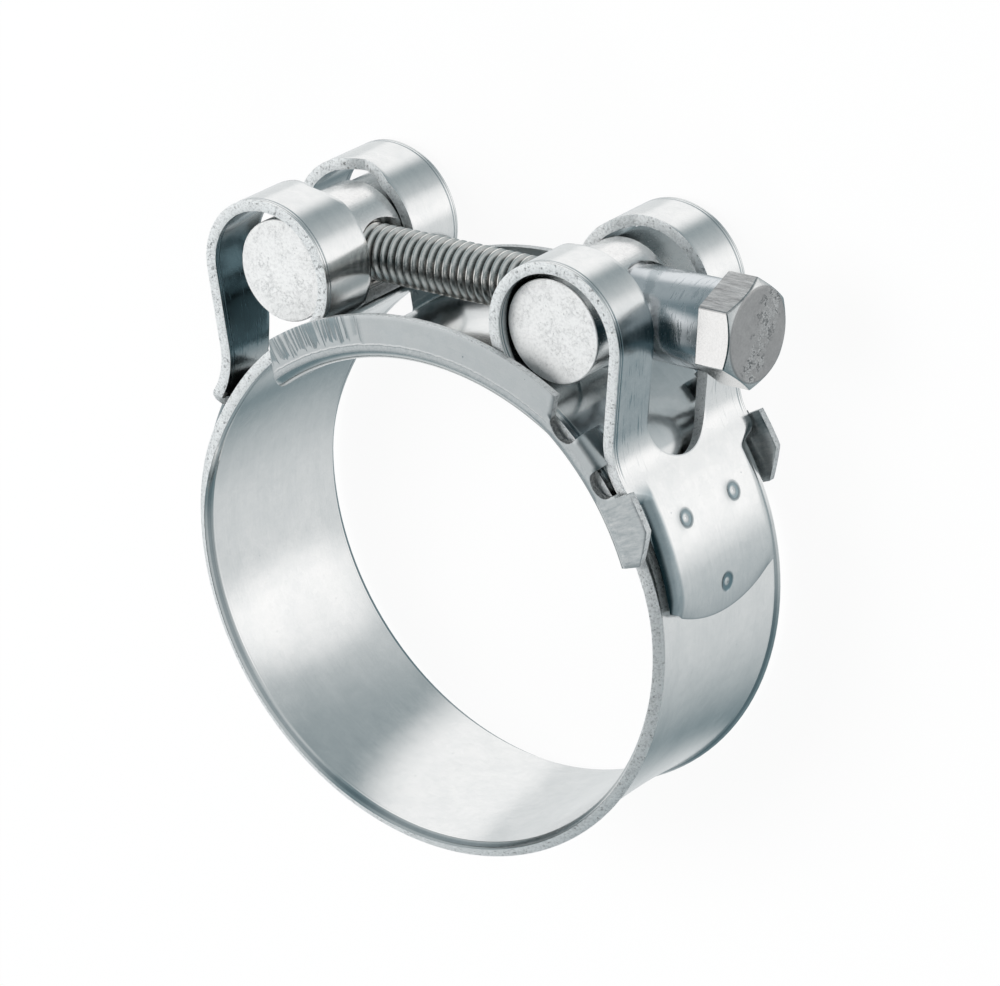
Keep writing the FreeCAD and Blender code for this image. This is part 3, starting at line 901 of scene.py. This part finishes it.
def on_bridge(s):
    """Point of the floor's middle surface and its outward direction."""
    soft = 0.8
    fixed_turn = TAIL + s / FLOOR
    free_turn = free_start + (s - HINGE_S) / FREE
    share = eased(s, HINGE_S - soft, HINGE_S + soft)
    turn = fixed_turn + (free_turn - fixed_turn) * share
    if s < HINGE_S:
        point = around((0, 0), FLOOR, fixed_turn)
    else:
        point = around(free_centre, FREE, free_turn)
    return point, around((0, 0), 1.0, turn)


# %% Columns and rows of the bridge
FLOOR_ROWS, FOLD_ROWS, LOW_ROWS, HIGH_ROWS, ROLL_ROWS, REACH_ROWS = 10, 6, 4, 6, 5, 3
NOTCH_COLUMNS = 14
fold_row = FLOOR_ROWS + FOLD_ROWS
notch_row = fold_row + LOW_ROWS
top_row = notch_row + HIGH_ROWS
roll_row = top_row + ROLL_ROWS
BRIDGE_ROWS = roll_row + REACH_ROWS


def notch_steps(middle):
    """Columns through a notch, closest together at its sides."""
    turns = [math.pi * (i + 1) / NOTCH_COLUMNS for i in range(NOTCH_COLUMNS)]
    return [middle - NOTCH_HALF * math.cos(turn) for turn in turns]


bridge_columns = [0.0]
bridge_columns += steps(0.0, TAB_CORNER, 5)
bridge_columns += steps(TAB_CORNER, TAB_END - 0.05, 4)
bridge_columns += [TAB_END + 0.1, far_notch - NOTCH_HALF]
far_span = (len(bridge_columns) - 1, len(bridge_columns) - 1 + NOTCH_COLUMNS)
bridge_columns += notch_steps(far_notch)
bridge_columns += steps(finger_start, near_notch - NOTCH_HALF, 8)
near_span = (len(bridge_columns) - 1, len(bridge_columns) - 1 + NOTCH_COLUMNS)
bridge_columns += notch_steps(near_notch)
bridge_columns += steps(near_notch + NOTCH_HALF, FREE_WALL, 8)
bridge_columns += steps(FREE_WALL, BRIDGE_LENGTH, 40)
print(len(bridge_columns), "columns and", BRIDGE_ROWS + 1, "rows")


def wall_top(s):
    """Height of the wall's cut edge over the floor's middle surface."""
    if s <= TAB_CORNER:
        return TAB_FRONT + (TAB_TOP - TAB_FRONT) * s / TAB_CORNER
    if s <= TAB_END:
        return TAB_TOP
    if s < near_notch:
        return LOW_TOP
    return WALL_TOP


def bridge_place(column, row):
    """Distance along, distance off the centre line and height of one grid point."""
    s = bridge_columns[column]
    fingers = far_span[1] <= column <= near_span[0]
    level = NOTCH_LEVEL
    for first, last in (far_span, near_span):
        if first < column < last:
            off = (s - (bridge_columns[first] + bridge_columns[last]) / 2) / NOTCH_HALF
            level = NOTCH_LEVEL - NOTCH_DEPTH * math.sqrt(max(1 - off * off, 0.0))
    top = FINGER_LEVEL - FINGER_BEND if fingers else wall_top(s)
    if row <= FLOOR_ROWS:
        across, height = (WALL_Z - FOLD) * row / FLOOR_ROWS, 0.0
    elif row <= fold_row:
        turn = math.pi / 2 * (row - FLOOR_ROWS) / FOLD_ROWS
        across = WALL_Z - FOLD + FOLD * math.sin(turn)
        height = FOLD * (1 - math.cos(turn))
    elif row <= notch_row:
        across = WALL_Z
        height = FOLD + (level - FOLD) * (row - fold_row) / LOW_ROWS
    elif row <= top_row:
        across = WALL_Z
        height = level + (top - level) * (row - notch_row) / HIGH_ROWS
    elif row <= roll_row:
        turn = math.pi / 2 * (row - top_row) / ROLL_ROWS
        across = WALL_Z - FINGER_BEND * (1 - math.cos(turn))
        height = top + FINGER_BEND * math.sin(turn)
    else:
        share = (row - roll_row) / REACH_ROWS
        across = WALL_Z - FINGER_BEND - (FINGER_REACH - FINGER_BEND) * share
        height = top + FINGER_BEND
    if s > near_notch:
        lean = NOTCH_LEAN * (1 - eased(s, near_notch + NOTCH_HALF, LEAN_END))
        s += lean * max(height - NOTCH_LEVEL, 0.0)
        s -= END_LEAN * eased(s, BRIDGE_LENGTH - END_STRETCH, BRIDGE_LENGTH) * height
    return s, across, height


def outside_bridge(column_a, column_b, row_b):
    """Whether a cell of the grid is cut away: in a notch, or above a plain wall."""
    in_notch = any(
        first <= column_a and column_b <= last for first, last in (far_span, near_span)
    )
    fingers = far_span[1] <= column_a and column_b <= near_span[0]
    return (in_notch and row_b > notch_row) or (row_b > top_row and not fingers)


def beside_far_finger(polygon):
    """The far finger is narrower: whether a face is wall or finger cut away beside it."""
    centre = polygon.center / MM
    turn = math.atan2(centre.y, centre.x)
    high = math.hypot(centre.x, centre.y) > FLOOR + NOTCH_LEVEL
    s = (turn - TAIL) * FLOOR
    return high and finger_start < s < finger_start + FINGER_STEP and centre.z < 0


# %% Make the bridge
def bridge_point(column, row):
    """Where one point of the bridge's blank is folded to, and its place on the map."""
    s, across, height = bridge_place(column, row)
    point, out = on_bridge(s)
    place = point + out * height
    return Vector((place.x, place.y, across)) * MM, (s, across + height)


bridge, bridge_grid = blank_grid("bridge_channel", len(bridge_columns), BRIDGE_ROWS + 1,
                                 bridge_point)
without_cells(bridge, bridge_grid, outside_bridge)
with_slots(bridge, "bridge_zinc", "sheared_edge")
modified(bridge, "MIRROR", use_axis=(False, False, True), use_clip=True,
         merge_threshold=TOUCHING)
without_faces(bridge, beside_far_finger)
for vertex in bridge.data.vertices:
    if vertex.co.z < -0.7 * WALL_Z * MM:
        degrees = math.degrees(math.atan2(vertex.co.y, vertex.co.x))
        turn = Matrix.Rotation(SKEW * (1 - eased(degrees, *SKEW_FADE)), 4, "Z")
        vertex.co = turn @ vertex.co
thickened(bridge, SHEET, bevel=0.09, corner=50)
smoothed(bridge)
counted(bridge)

# %% [markdown]
# ## Shader maths
# A material is a small sum: noise here, a mask there. Wrapping a node's socket in a
# class lets Python's own operators add the Math nodes, so `1 - mask * 0.4` reads as it
# would on paper. Every node is made by one method, `add`. The other methods name what
# the finishes below have in common: places, noise, streaks and the metal itself.

# %% Sockets that add up
class Value:
    """An output socket. Plain arithmetic on it adds Math nodes."""

    def __init__(self, finish, socket):
        self.finish = finish
        self.socket = socket

    def with_math(self, operation, first, second=None, clamp=False):
        """One Math node on one or two values."""
        inputs = {0: first} if second is None else {0: first, 1: second}
        return self.finish.add(
            "ShaderNodeMath", {"operation": operation, "use_clamp": clamp}, inputs
        )

    def __add__(self, other):
        return self.with_math("ADD", self, other)

    def __sub__(self, other):
        return self.with_math("SUBTRACT", self, other)

    def __rsub__(self, other):
        return self.with_math("SUBTRACT", other, self)

    def __mul__(self, other):
        return self.with_math("MULTIPLY", self, other)

    __radd__ = __add__
    __rmul__ = __mul__

    def __abs__(self):
        return self.with_math("ABSOLUTE", self)

    def clamped(self):
        """Kept between 0 and 1."""
        return self.with_math("ADD", self, 0.0, clamp=True)

    def apart(self, other):
        """Distance made by two offsets at right angles."""
        square = self * self + other * other
        return self.with_math("SQRT", square)

    def smooth(self, start, end):
        """0 below start, 1 above end, and a smooth step between them."""
        return self.finish.add(
            "ShaderNodeMapRange", {"interpolation_type": "SMOOTHSTEP"},
            {"Value": self, "From Min": start, "From Max": end}, "Result",
        )

    def near(self, place, inner, outer):
        """1 close to a place and 0 away from it."""
        return 1 - abs(self - place).smooth(inner, outer)


class Finish:
    """A node tree under construction: a material's, or the room's."""

    def __init__(self, tree):
        self.tree = tree
        tree.nodes.clear()

    def add(self, kind, settings=None, inputs=None, output=0):
        """Add one node: its settings first, then the values or links of its sockets."""
        node = self.tree.nodes.new(kind)
        for name, value in (settings or {}).items():
            setattr(node, name, value)
        for name, value in (inputs or {}).items():
            socket = node.inputs[name]
            if isinstance(value, Value):
                self.tree.links.new(value.socket, socket)
            elif socket.type == "RGBA":
                socket.default_value = (*value, 1.0)
            else:
                socket.default_value = value
        if isinstance(output, tuple):
            return [Value(self, node.outputs[name]) for name in output]
        return None if output is None else Value(self, node.outputs[output])

    def places(self):
        """Object coordinates in millimetres."""
        place = self.add("ShaderNodeTexCoord", output="Object")
        return self.add(
            "ShaderNodeVectorMath", {"operation": "SCALE"}, {0: place, "Scale": 1 / MM}
        )

    def strip_places(self):
        """Millimetres along and across the strip, from its own map."""
        mapped = self.add("ShaderNodeUVMap", {"uv_map": "strip"})
        return self.stretched(mapped, (MAP_UNIT, MAP_UNIT, 0.0))

    def axes(self, vector):
        """The three parts of a vector."""
        return self.add("ShaderNodeSeparateXYZ", None, {0: vector}, (0, 1, 2))

    def stretched(self, vector, scale):
        """A pattern's coordinates, pulled longer or shorter along each axis."""
        return self.add(
            "ShaderNodeVectorMath", {"operation": "MULTIPLY"}, {0: vector, 1: scale}
        )

    def noise(self, vector, scale, detail=3.0, rough=0.55):
        """Noise between 0 and 1, about 0.5."""
        return self.add(
            "ShaderNodeTexNoise", None,
            {"Vector": vector, "Scale": scale, "Detail": detail, "Roughness": rough},
        )

    def streaks(self, vector, scale, detail=3.0, rough=0.6):
        """Noise drawn out: finer along an axis where the scale is large."""
        return self.noise(self.stretched(vector, scale), 1.0, detail, rough)

    def blended(self, share, first, second):
        """One colour over another."""
        return self.add(
            "ShaderNodeMix", {"data_type": "RGBA"}, {0: share, 6: first, 7: second}, 2
        )

    def metal(self, shade, tints, rough, relief, metallic=1.0):
        """The metal shader and the tree's output.

        The shade goes from the first tint to the second. The relief is a height in
        millimetres, the bump's strength and its distance.
        """
        height, strength, distance = relief
        normal = self.add(
            "ShaderNodeBump", None,
            {"Height": height, "Strength": strength, "Distance": distance * MM},
        )
        shader = self.add("ShaderNodeBsdfPrincipled", None, {
            "Base Color": self.blended(shade.clamped(), *tints),
            "Roughness": rough.clamped(), "Metallic": metallic, "Normal": normal,
        })
        self.add("ShaderNodeOutputMaterial", None, {"Surface": shader}, None)


def new_finish(name):
    """A material and its empty tree."""
    material = bpy.data.materials.get(name) or bpy.data.materials.new(name)
    material.use_nodes = True
    return Finish(material.node_tree)


# %% [markdown]
# ## Zinc
# The band, the bridge and the sleeve are plated with bright zinc. Close up the plating
# is a faint patchwork of crystals, with fine lines in the direction in which the strip
# was rolled and a few small pits. The sheet isn't quite flat, so its reflections waver.
# On a strip the lines follow its own map, and so do the marks that the tools left.

# %% Zinc
# The dark tint is teal: painted shade below darkens the zinc towards it, as pits do.
ZINC_DARK = (0.14, 0.22, 0.25)
ZINC_BRIGHT = (0.885, 0.88, 0.872)
SLEEVE_BRIGHT = (0.74, 0.76, 0.78)


def zinc(name, grain_scale, place, marks_and_shade, tint=ZINC_BRIGHT, gloss=0.17):
    """Bright zinc: crystals, rolling lines, a slight waver, and the piece's marks and painted shade."""
    finish = new_finish(name)
    position = place(finish)
    lines = finish.streaks(position, grain_scale, 4.0, 0.7)
    waver = finish.noise(position, 0.13, 2.0, 0.5)
    patches = finish.noise(position, 0.30, 4.0, 0.6)
    grain = finish.noise(position, 5.0, 3.0, 0.65)
    pits = finish.noise(position, 1.9, 2.0, 0.5).smooth(0.76, 0.79)
    crystals = finish.add(
        "ShaderNodeTexVoronoi", None, {"Vector": position, "Scale": 1.3}, "Color"
    )
    crystal = finish.axes(crystals)[0]
    more_shade, more_rough, more_height = marks_and_shade(finish, position)
    shade = 0.92 + (patches - 0.5) * 0.30 + (crystal - 0.5) * 0.04 + (lines - 0.5) * 0.14
    shade = shade + (grain - 0.5) * 0.16 - pits * 0.45 + more_shade
    rough = gloss + (patches - 0.5) * 0.16 + (lines - 0.5) * 0.12 + (grain - 0.5) * 0.12
    height = lines * 0.25 + grain * 0.12 - pits * 1.5 + waver * 7 + more_height
    finish.metal(shade, (ZINC_DARK, tint), rough + more_rough, (height, 0.5, 0.012))


# %% [markdown]
# ## Marks on the zinc
# Each function below gives what its piece's marks and painted shade add to the shade,
# the roughness and the height. The band gets painted shade on the inner sides of its
# loops and legs, on the near leg's outer face, on the tongue's turned-down near edge and
# towards the tongue's tip. Its ring has a painted highlight along the ridge beside
# painted shade along the dished lip, and each weld is a dark ring round a small raised
# button. The bridge's walls are dull, with upright tears where the shear pulled the
# metal, and its floor gets painted shade under the loops.

# %% Marks of the tools, and painted shade
def shade_under_loops(finish, lowest):
    """Where painted shade goes: the inner sides of the loops and legs, and what lies under them."""
    x, y, _ = finish.axes(finish.places())
    above = y - LOOP_Y
    fall = above.with_math("MINIMUM", above, 0.0)
    off = (abs(x) - LOOP_X - fall * math.tan(LEAN)).apart(above - fall)
    outside_bore = x.apart(y).smooth(lowest - 0.2, lowest)
    return (1 - off.smooth(LOOP - 0.3, LOOP + 0.1)) * outside_bore * y.smooth(8.0, 14.0)


def band_marks_and_shade(finish, position):
    """Lines beside the edges, scratches down the leg, painted shade and highlight, and the welds."""
    along, across, _ = finish.axes(position)
    z = finish.axes(finish.places())[2]
    on_tongue = along.smooth(STARTS["tongue"], STARTS["tongue"] + 2.0)
    before_foot = 1 - along.smooth(STARTS["foot"], STARTS["tongue"])
    ring = 1 - along.smooth(STARTS["loop"] - 6, STARTS["loop"])
    flat = along.smooth(STARTS["loop"] - 2, STARTS["loop"] + 2)
    flat = flat - along.smooth(STARTS["foot"] + 3, STARTS["tongue"])
    coined = across.near(10.40, 0.03, 0.13) + across.near(10.74, 0.02, 0.09) * 0.7
    coined = coined * flat
    leg = along.near(STARTS["leg"] + 6, 4, 9) * across.smooth(5.0, 6.5)
    scratches = finish.streaks(position, (0.30, 4.5, 0.0)).smooth(0.57, 0.68) * leg
    # Painted shade: the near leg's outer face is darkened.
    near_leg_shade = along.near(STARTS["leg"] + 3, 5, 9) * z.smooth(2.0, 5.0)
    # Painted shade on the tongue's turned-down near edge.
    turned_edge_shade = across.smooth(TONGUE_FLAT - 0.1, TONGUE_FLAT + 0.4)
    turned_edge_shade = turned_edge_shade * z.smooth(0.0, 1.0) * on_tongue
    # Painted shade: the tongue darkens towards its tip, except on its turned-down edge.
    tip = along.smooth(HALF_LENGTH - 9.5, HALF_LENGTH - 1.5) * (1 - turned_edge_shade)
    # Painted highlight along the ring's ridge, and painted shade along the lip beside it; both also carry a
    # bump.
    ridge_highlight = across.near(RIDGE, 0.03, 0.10) * ring
    lip = across.near(RIDGE + 0.30, 0.10, 0.24) * ring
    # Painted shade on the inner sides of the loops and legs and on the ring under them.
    inside = shade_under_loops(finish, RING - 0.1) * before_foot
    rings = 0.0
    buttons = 0.0
    for degrees, weld_across in WELDS:
        off = (along - at_angle("tongue", degrees)).apart(across - weld_across)
        rings = off.near(0.76, 0.08, 0.46) + rings
        buttons = off.near(0.0, 0.05, 0.42) + buttons
    shade = ridge_highlight * 0.3 - lip * 0.42 - coined * 0.55 - scratches * 0.30 - rings * 0.75
    shade = shade - inside * 0.34 - turned_edge_shade * 0.65 - tip * 0.38 - near_leg_shade * 0.60
    height = ridge_highlight * 1.5 - lip * 1.5 - coined * 3.5 - scratches * 0.8
    height = height - rings * 14 + buttons * 12
    return shade, scratches * 0.12 + coined * 0.1, height


def bridge_marks_and_shade(finish, position):
    """On the walls: a dull face, the fold's line, the shear's tears and a brushed tab; on the floor, painted
    shade under the loops.
    """
    along, up, _ = finish.axes(position)
    wall = up.smooth(12.2, 12.5)
    upright = finish.streaks(position, (3.6, 0.10, 0.0), 2.0)
    groups = finish.streaks(position, (0.55, 0.02, 0.0), 1.0, 0.5)
    ends = finish.streaks(position, (1.6, 0.02, 0.0), 2.0)
    torn = upright.smooth(0.44, 0.56) * groups.smooth(0.30, 0.38)
    torn = torn * along.smooth(BRIDGE_LENGTH - 14.0, BRIDGE_LENGTH - 13.0)
    torn = torn * (up + ends * 3.0).smooth(15.0, 15.2) * wall
    fold = (up + ends * 0.3).near(13.15, 0.03, 0.13) * along.smooth(15.0, 17.0)
    below = wall - up.smooth(13.0, 13.2)
    speckle = finish.noise(position, 2.6, 4.0, 0.75)
    tab = 1 - along.smooth(6.0, 6.6)
    brushed = finish.streaks(position, (2.6, 0.5, 0.0), rough=0.7)
    shade = wall * -0.27 - torn * 0.40 + fold * 0.20 + (speckle - 0.5) * below * 0.7
    # Painted shade on the bridge's floor under the loops.
    shade = shade - shade_under_loops(finish, BORE - 0.2) * (1 - wall) * 0.45
    shade = shade + (brushed - 0.5) * tab * wall * 0.9
    height = torn * -3.5 + fold * 2.5 + speckle * below * 2 + brushed * tab * 1.5
    return shade, wall * 0.22, height


def sleeve_marks(finish, position):
    """A stain where the pocket's oil dried, and scuffs towards the head."""
    x, y, _ = finish.axes(position)
    patches = finish.noise(position, 0.35, 3.0, 0.6)
    stain = (x + (y - BOLT_Y) * 0.35 + (patches - 0.5) * 2.0).near(25.4, 0.35, 0.75)
    scuffs = finish.streaks(position, (3.5, 0.5, 0.5), rough=0.7)
    scuffs = scuffs.smooth(0.55, 0.66) * x.smooth(25.5, 26.5)
    return stain * -0.26 - scuffs * 0.22, stain * 0.08 + scuffs * 0.1, scuffs * -1.0


# %% [markdown]
# ## Sheared edges
# The shear leaves a granular, pitted edge that catches the light in small specks. The
# wall's edges round the bridge's two notches are darkened as painted shade.

# %% Sheared edge
SHEARED_BRIGHT = (0.84, 0.85, 0.85)
SHEARED_DARK = (0.185, 0.187, 0.187)
NOTCH_MIDDLE = 1.4          # height of the notches' middle over the floor


def sheared(name):
    """An edge left by the shear: dull, granular and pitted, with painted shade round the notches."""
    finish = new_finish(name)
    position = finish.places()
    coarse = finish.noise(position, 1.2, 4.0, 0.75)
    fine = finish.noise(position, 4.0, 3.0, 0.7)
    pits = finish.noise(position, 2.4, 2.0, 0.6).smooth(0.62, 0.68)
    x, y, z = finish.axes(position)
    on_walls = abs(z).smooth(11.25, 11.35)
    shade = 0.93 + (coarse - 0.5) * 0.8 + (fine - 0.5) * 2.0 - pits * 0.6
    # Painted shade on the wall's edges round the two notches.
    for s in (near_notch, far_notch):
        notch_shade_centre = around((0, 0), FLOOR + NOTCH_MIDDLE, TAIL + s / FLOOR)
        off = (x - notch_shade_centre.x).apart(y - notch_shade_centre.y)
        shade = shade - (1 - off.smooth(1.7, 2.0)) * on_walls * 0.75
    rough = 0.36 + (coarse - 0.5) * 0.3
    relief = (coarse + fine - pits, 0.8, 0.09)
    finish.metal(shade, (SHEARED_DARK, SHEARED_BRIGHT), rough, relief, 0.5)


# %% [markdown]
# ## Bar and bolt steel
# The barrels' ends are cut faces, matt and mottled, while their round sides are drawn
# bright. The bolt is plain steel, darker than the zinc, with painted shade in the thread's grooves.
# Its head is darkest on the forged end face, where rubbing has left brighter marks. Its
# upper flank has painted shade over drawn streaks.

# %% Steel of the bars and the bolt
def barrel_steel(name):
    """Drawn bar with sawn, mottled ends."""
    finish = new_finish(name)
    position = finish.places()
    end = abs(finish.axes(position)[2]).smooth(BAR_HALF - 0.15, BAR_HALF - 0.05)
    mottle = finish.noise(position, 0.5, 4.0, 0.7)
    grain = finish.noise(position, 3.0, 4.0, 0.75)
    contour = finish.noise(position, 1.7, 5.0, 0.75)
    cracks = contour.near(0.5, 0.0, 0.02) * mottle.smooth(0.46, 0.58)
    pits = finish.noise(position, 2.6, 2.0, 0.6).smooth(0.66, 0.72)
    lines = finish.streaks(position, (3.0, 3.0, 0.12))
    shade = 0.96 + (mottle - 0.5) * 0.20 + (grain - 0.5) * (0.5 + end * 0.5)
    shade = shade - (cracks + pits) * 0.30 * end
    rough = 0.22 + (lines - 0.5) * 0.2 + end * 0.30 + pits * 0.15
    height = lines * 0.4 + end * (mottle * 1.8 + grain * 0.7 - pits * 0.8 - cracks)
    tints = ((0.30, 0.30, 0.30), (0.90, 0.89, 0.88))
    finish.metal(shade, tints, rough, (height, 0.5, 0.04), 1 - end * 0.70)


def thread_steel(name):
    """Darker steel, with painted shade towards the thread's grooves."""
    finish = new_finish(name)
    position = finish.places()
    _, y, z = finish.axes(position)
    off = (y - BOLT_Y).apart(z)
    mottle = finish.noise(position, 0.8, 4.0, 0.65)
    grain = finish.noise(position, 5.0, 3.0, 0.7)
    shade = 0.98 + (mottle - 0.5) * 0.4 + (grain - 0.5) * 0.3
    # Painted shade: the steel darkens towards the thread's grooves.
    shade = shade - (1 - off.smooth(THREAD - THREAD_DEPTH, THREAD - 0.1)) * 0.75
    rough = 0.24 + (grain - 0.5) * 0.2
    tints = ((0.09, 0.085, 0.08), (0.86, 0.84, 0.81))
    finish.metal(shade, tints, rough, (grain, 0.3, 0.02))


def head_steel(name):
    """The forged head: plain flanks, an upper one with painted shade over drawn streaks, and a darker,
    rubbed face.
    """
    finish = new_finish(name)
    position = finish.places()
    x, y, z = finish.axes(position)
    face = x.smooth(SEAT_X + HEAD_HEIGHT - 0.15, SEAT_X + HEAD_HEIGHT - 0.05)
    mottle = finish.noise(position, 0.5, 4.0, 0.6)
    grain = finish.noise(position, 4.0, 3.0, 0.7)
    contour = finish.noise(position, 0.9, 6.0, 0.8)
    across = (y - BOLT_Y) * 0.5 + z * 0.8 + (mottle - 0.5) * 6
    rubbed = across.near(-0.6, 0.3, 1.6) * contour.near(0.5, 0.01, 0.06) * face
    dents = contour.near(0.42, 0.0, 0.03) * across.near(-0.6, 0.6, 2.4) * face
    # Painted shade on the upper flank, with drawn streaks in it.
    upwards = HEAD_TURN + math.pi / 6
    shaded_upper_flank = (y - BOLT_Y) * math.cos(upwards) + z * math.sin(upwards)
    shaded_upper_flank = shaded_upper_flank.smooth(HEAD_FLATS / 2 - 0.2, HEAD_FLATS / 2 - 0.1) * (1 - face)
    drawn = finish.streaks(position, (0.3, 2.5, 2.5), rough=0.7)
    shade = 0.95 - face * 0.56 + (mottle - 0.5) * 0.3 + (grain - 0.5) * 0.2
    shade = shade - shaded_upper_flank * (0.40 + (drawn - 0.5) * 1.2) + rubbed * 0.30 - dents * 0.30
    rough = 0.24 + face * 0.12 + (mottle - 0.5) * 0.2
    height = grain * 0.4 + rubbed * 0.8 - dents * 1.2 + mottle
    tints = ((0.10, 0.10, 0.105), (0.88, 0.87, 0.86))
    finish.metal(shade, tints, rough, (height, 0.5, 0.05))


# %% Give each piece its finish
ALONG_STRIP = (0.05, 4.0, 4.0)
ALONG_SLEEVE = (0.4, 3.0, 3.0)

sheared("sheared_edge")
zinc("band_zinc", ALONG_STRIP, Finish.strip_places, band_marks_and_shade)
zinc("bridge_zinc", ALONG_STRIP, Finish.strip_places, bridge_marks_and_shade)
zinc("sleeve_zinc", ALONG_SLEEVE, Finish.places, sleeve_marks, SLEEVE_BRIGHT, gloss=0.22)
barrel_steel("barrel_steel")
thread_steel("thread_steel")
head_steel("head_steel")
for piece, finish_name in (
    (sleeve, "sleeve_zinc"), (near, "barrel_steel"), (far, "barrel_steel"),
    (bolt, "thread_steel"), (head, "head_steel"),
):
    with_slots(piece, finish_name)
    print(piece.name, "is finished in", finish_name)

# %% [markdown]
# ## Who moves with what
# Each piece rides on the body that carries its solid, and takes that solid's place. The
# band bends, so it was blended between two bodies above.

# %% Bodies, solids and slots
for piece, body, node, slot in (
    (bolt, "bolt", "bolt", "bolt_steel"),
    (head, "bolt", "bolt", "bolt_steel"),
    (sleeve, "sleeve", "spacer_sleeve", "sleeve_steel"),
    (near, "plain_trunnion", "plain_trunnion", "trunnion_steel"),
    (far, "threaded_trunnion", "threaded_trunnion", "trunnion_steel"),
    (bridge, "bridge", "bridge", "bridge_steel"),
):
    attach(piece, body)
    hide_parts(node)

# %% [markdown]
# ## Floor and light
# The clamp lies on a pale floor in a white studio. Metal is seen by what it reflects, so
# the room that it reflects isn't white all round: it is a dim blue-green with soft boxes
# of light in it, and darkest below the camera. They give the ring, the barrels and the
# bolt their bright and dark bands. The camera itself sees plain white, and the floor
# keeps a soft shadow.

# %% Floor
FLOOR_Z = -12.14 * MM
floor = added("floor", bpy.ops.mesh.primitive_plane_add, size=8.0, location=(0, 0, FLOOR_Z))
floor.visible_glossy = False
WHITE = (1.0, 1.0, 1.0)
paper = new_finish("floor_paper")
path = paper.add("ShaderNodeLightPath", output="Is Camera Ray")
matt = paper.add("ShaderNodeBsdfDiffuse", None, {"Color": (0.86, 0.86, 0.86)})
glow = paper.add("ShaderNodeEmission", None, {"Color": WHITE, "Strength": 1.0})
seen = paper.add("ShaderNodeMixShader", None, {0: path * 0.94, 1: matt, 2: glow})
paper.add("ShaderNodeOutputMaterial", None, {"Surface": seen}, None)
with_slots(floor, "floor_paper")

# %% Room
ROOM_DIM = (0.125, 0.180, 0.200)
ROOM_DARK = (0.012, 0.030, 0.036)
SOFT_BOXES = (
    # towards (right, up, back), edge of the glow, full glow, strength
    ((0.96, -0.05, -0.25), 0.50, 1.10, 0.62),
    ((0.96, 0.28, -0.04), 0.93, 0.995, 0.42),
    ((-0.94, -0.15, 0.25), 0.74, 0.95, 0.95),
    ((0.10, -0.22, -0.97), 0.93, 1.0, 0.34),
    ((-0.45, -0.36, -0.82), 0.70, 0.95, 0.50),
    ((0.50, 0.05, 0.86), 0.45, 0.80, 0.35),
    ((-0.50, 0.86, 0.05), 0.80, 0.98, 0.25),
    ((0.60, 0.78, -0.10), 0.85, 1.0, 0.18),
)
world = bpy.data.worlds.new("room")
bpy.context.scene.world = world
world.use_nodes = True
room = Finish(world.node_tree)
direction = room.add("ShaderNodeTexCoord", output="Generated")


def glow_at(place, edge, full):
    """A soft round glow at a place in the room: right, up and back from the clamp."""
    right, up, back = place
    pole = (CAMERA_RIGHT * right + CAMERA_UP * up + camera_back * back).normalized()
    nearness = room.add(
        "ShaderNodeVectorMath", {"operation": "DOT_PRODUCT"},
        {0: direction, 1: tuple(pole)}, "Value",
    )
    return nearness.smooth(edge, full)


overhead = glow_at((0.05, 0.85, -0.52), 0.84, 0.975)
behind = glow_at((-0.12, 0.42, -0.90), 0.90, 0.99)
lights = overhead.with_math("MAXIMUM", overhead * 0.85, behind * 0.62)
for place, edge, full, strength in SOFT_BOXES:
    lights = lights + glow_at(place, edge, full) * strength
under = glow_at((-0.25, -0.60, 0.76), 0.60, 0.88)
lights = (lights * (1 - under)).clamped()
dim = room.blended(under, ROOM_DIM, ROOM_DARK)
studio = room.blended(lights, dim, WHITE)
light_path = room.add("ShaderNodeLightPath", output="Is Camera Ray")
white = room.add("ShaderNodeBackground", None, {"Color": WHITE, "Strength": 1.0})
lit = room.add("ShaderNodeBackground", None, {"Color": studio, "Strength": 1.20})
room_mix = room.add("ShaderNodeMixShader", None, {0: light_path, 1: lit, 2: white})
room.add("ShaderNodeOutputWorld", None, {"Surface": room_mix}, None)
print("the metal reflects", len(SOFT_BOXES) + 2, "soft boxes")


# %% [markdown]
# ## Lamps
# Two soft lamps throw the shadow on the floor. The metal doesn't reflect them, because
# two more bright patches would spoil the bands that the room gives it.

# %% Lamps
def lamp(name, place, size, power):
    """A soft rectangular lamp that faces the clamp."""
    data = bpy.data.lights.new(name, "AREA")
    data.shape = "RECTANGLE"
    data.size, data.size_y = size
    data.energy = power
    thing = bpy.data.objects.new(name, data)
    bpy.context.scene.collection.objects.link(thing)
    thing.location = place
    thing.visible_glossy = False
    thing.rotation_euler = (-Vector(place)).to_track_quat("-Z", "Y").to_euler()


lamp("key", (-0.25, 0.15, 0.55), (0.35, 0.35), 3.0)
lamp("side", (0.35, -0.35, 0.45), (0.12, 0.4), 1.2)

# %% [markdown]
# ## View and finish
# The plain view keeps the paper white.

# %% View and finish
bpy.context.scene.view_settings.view_transform = "Standard"
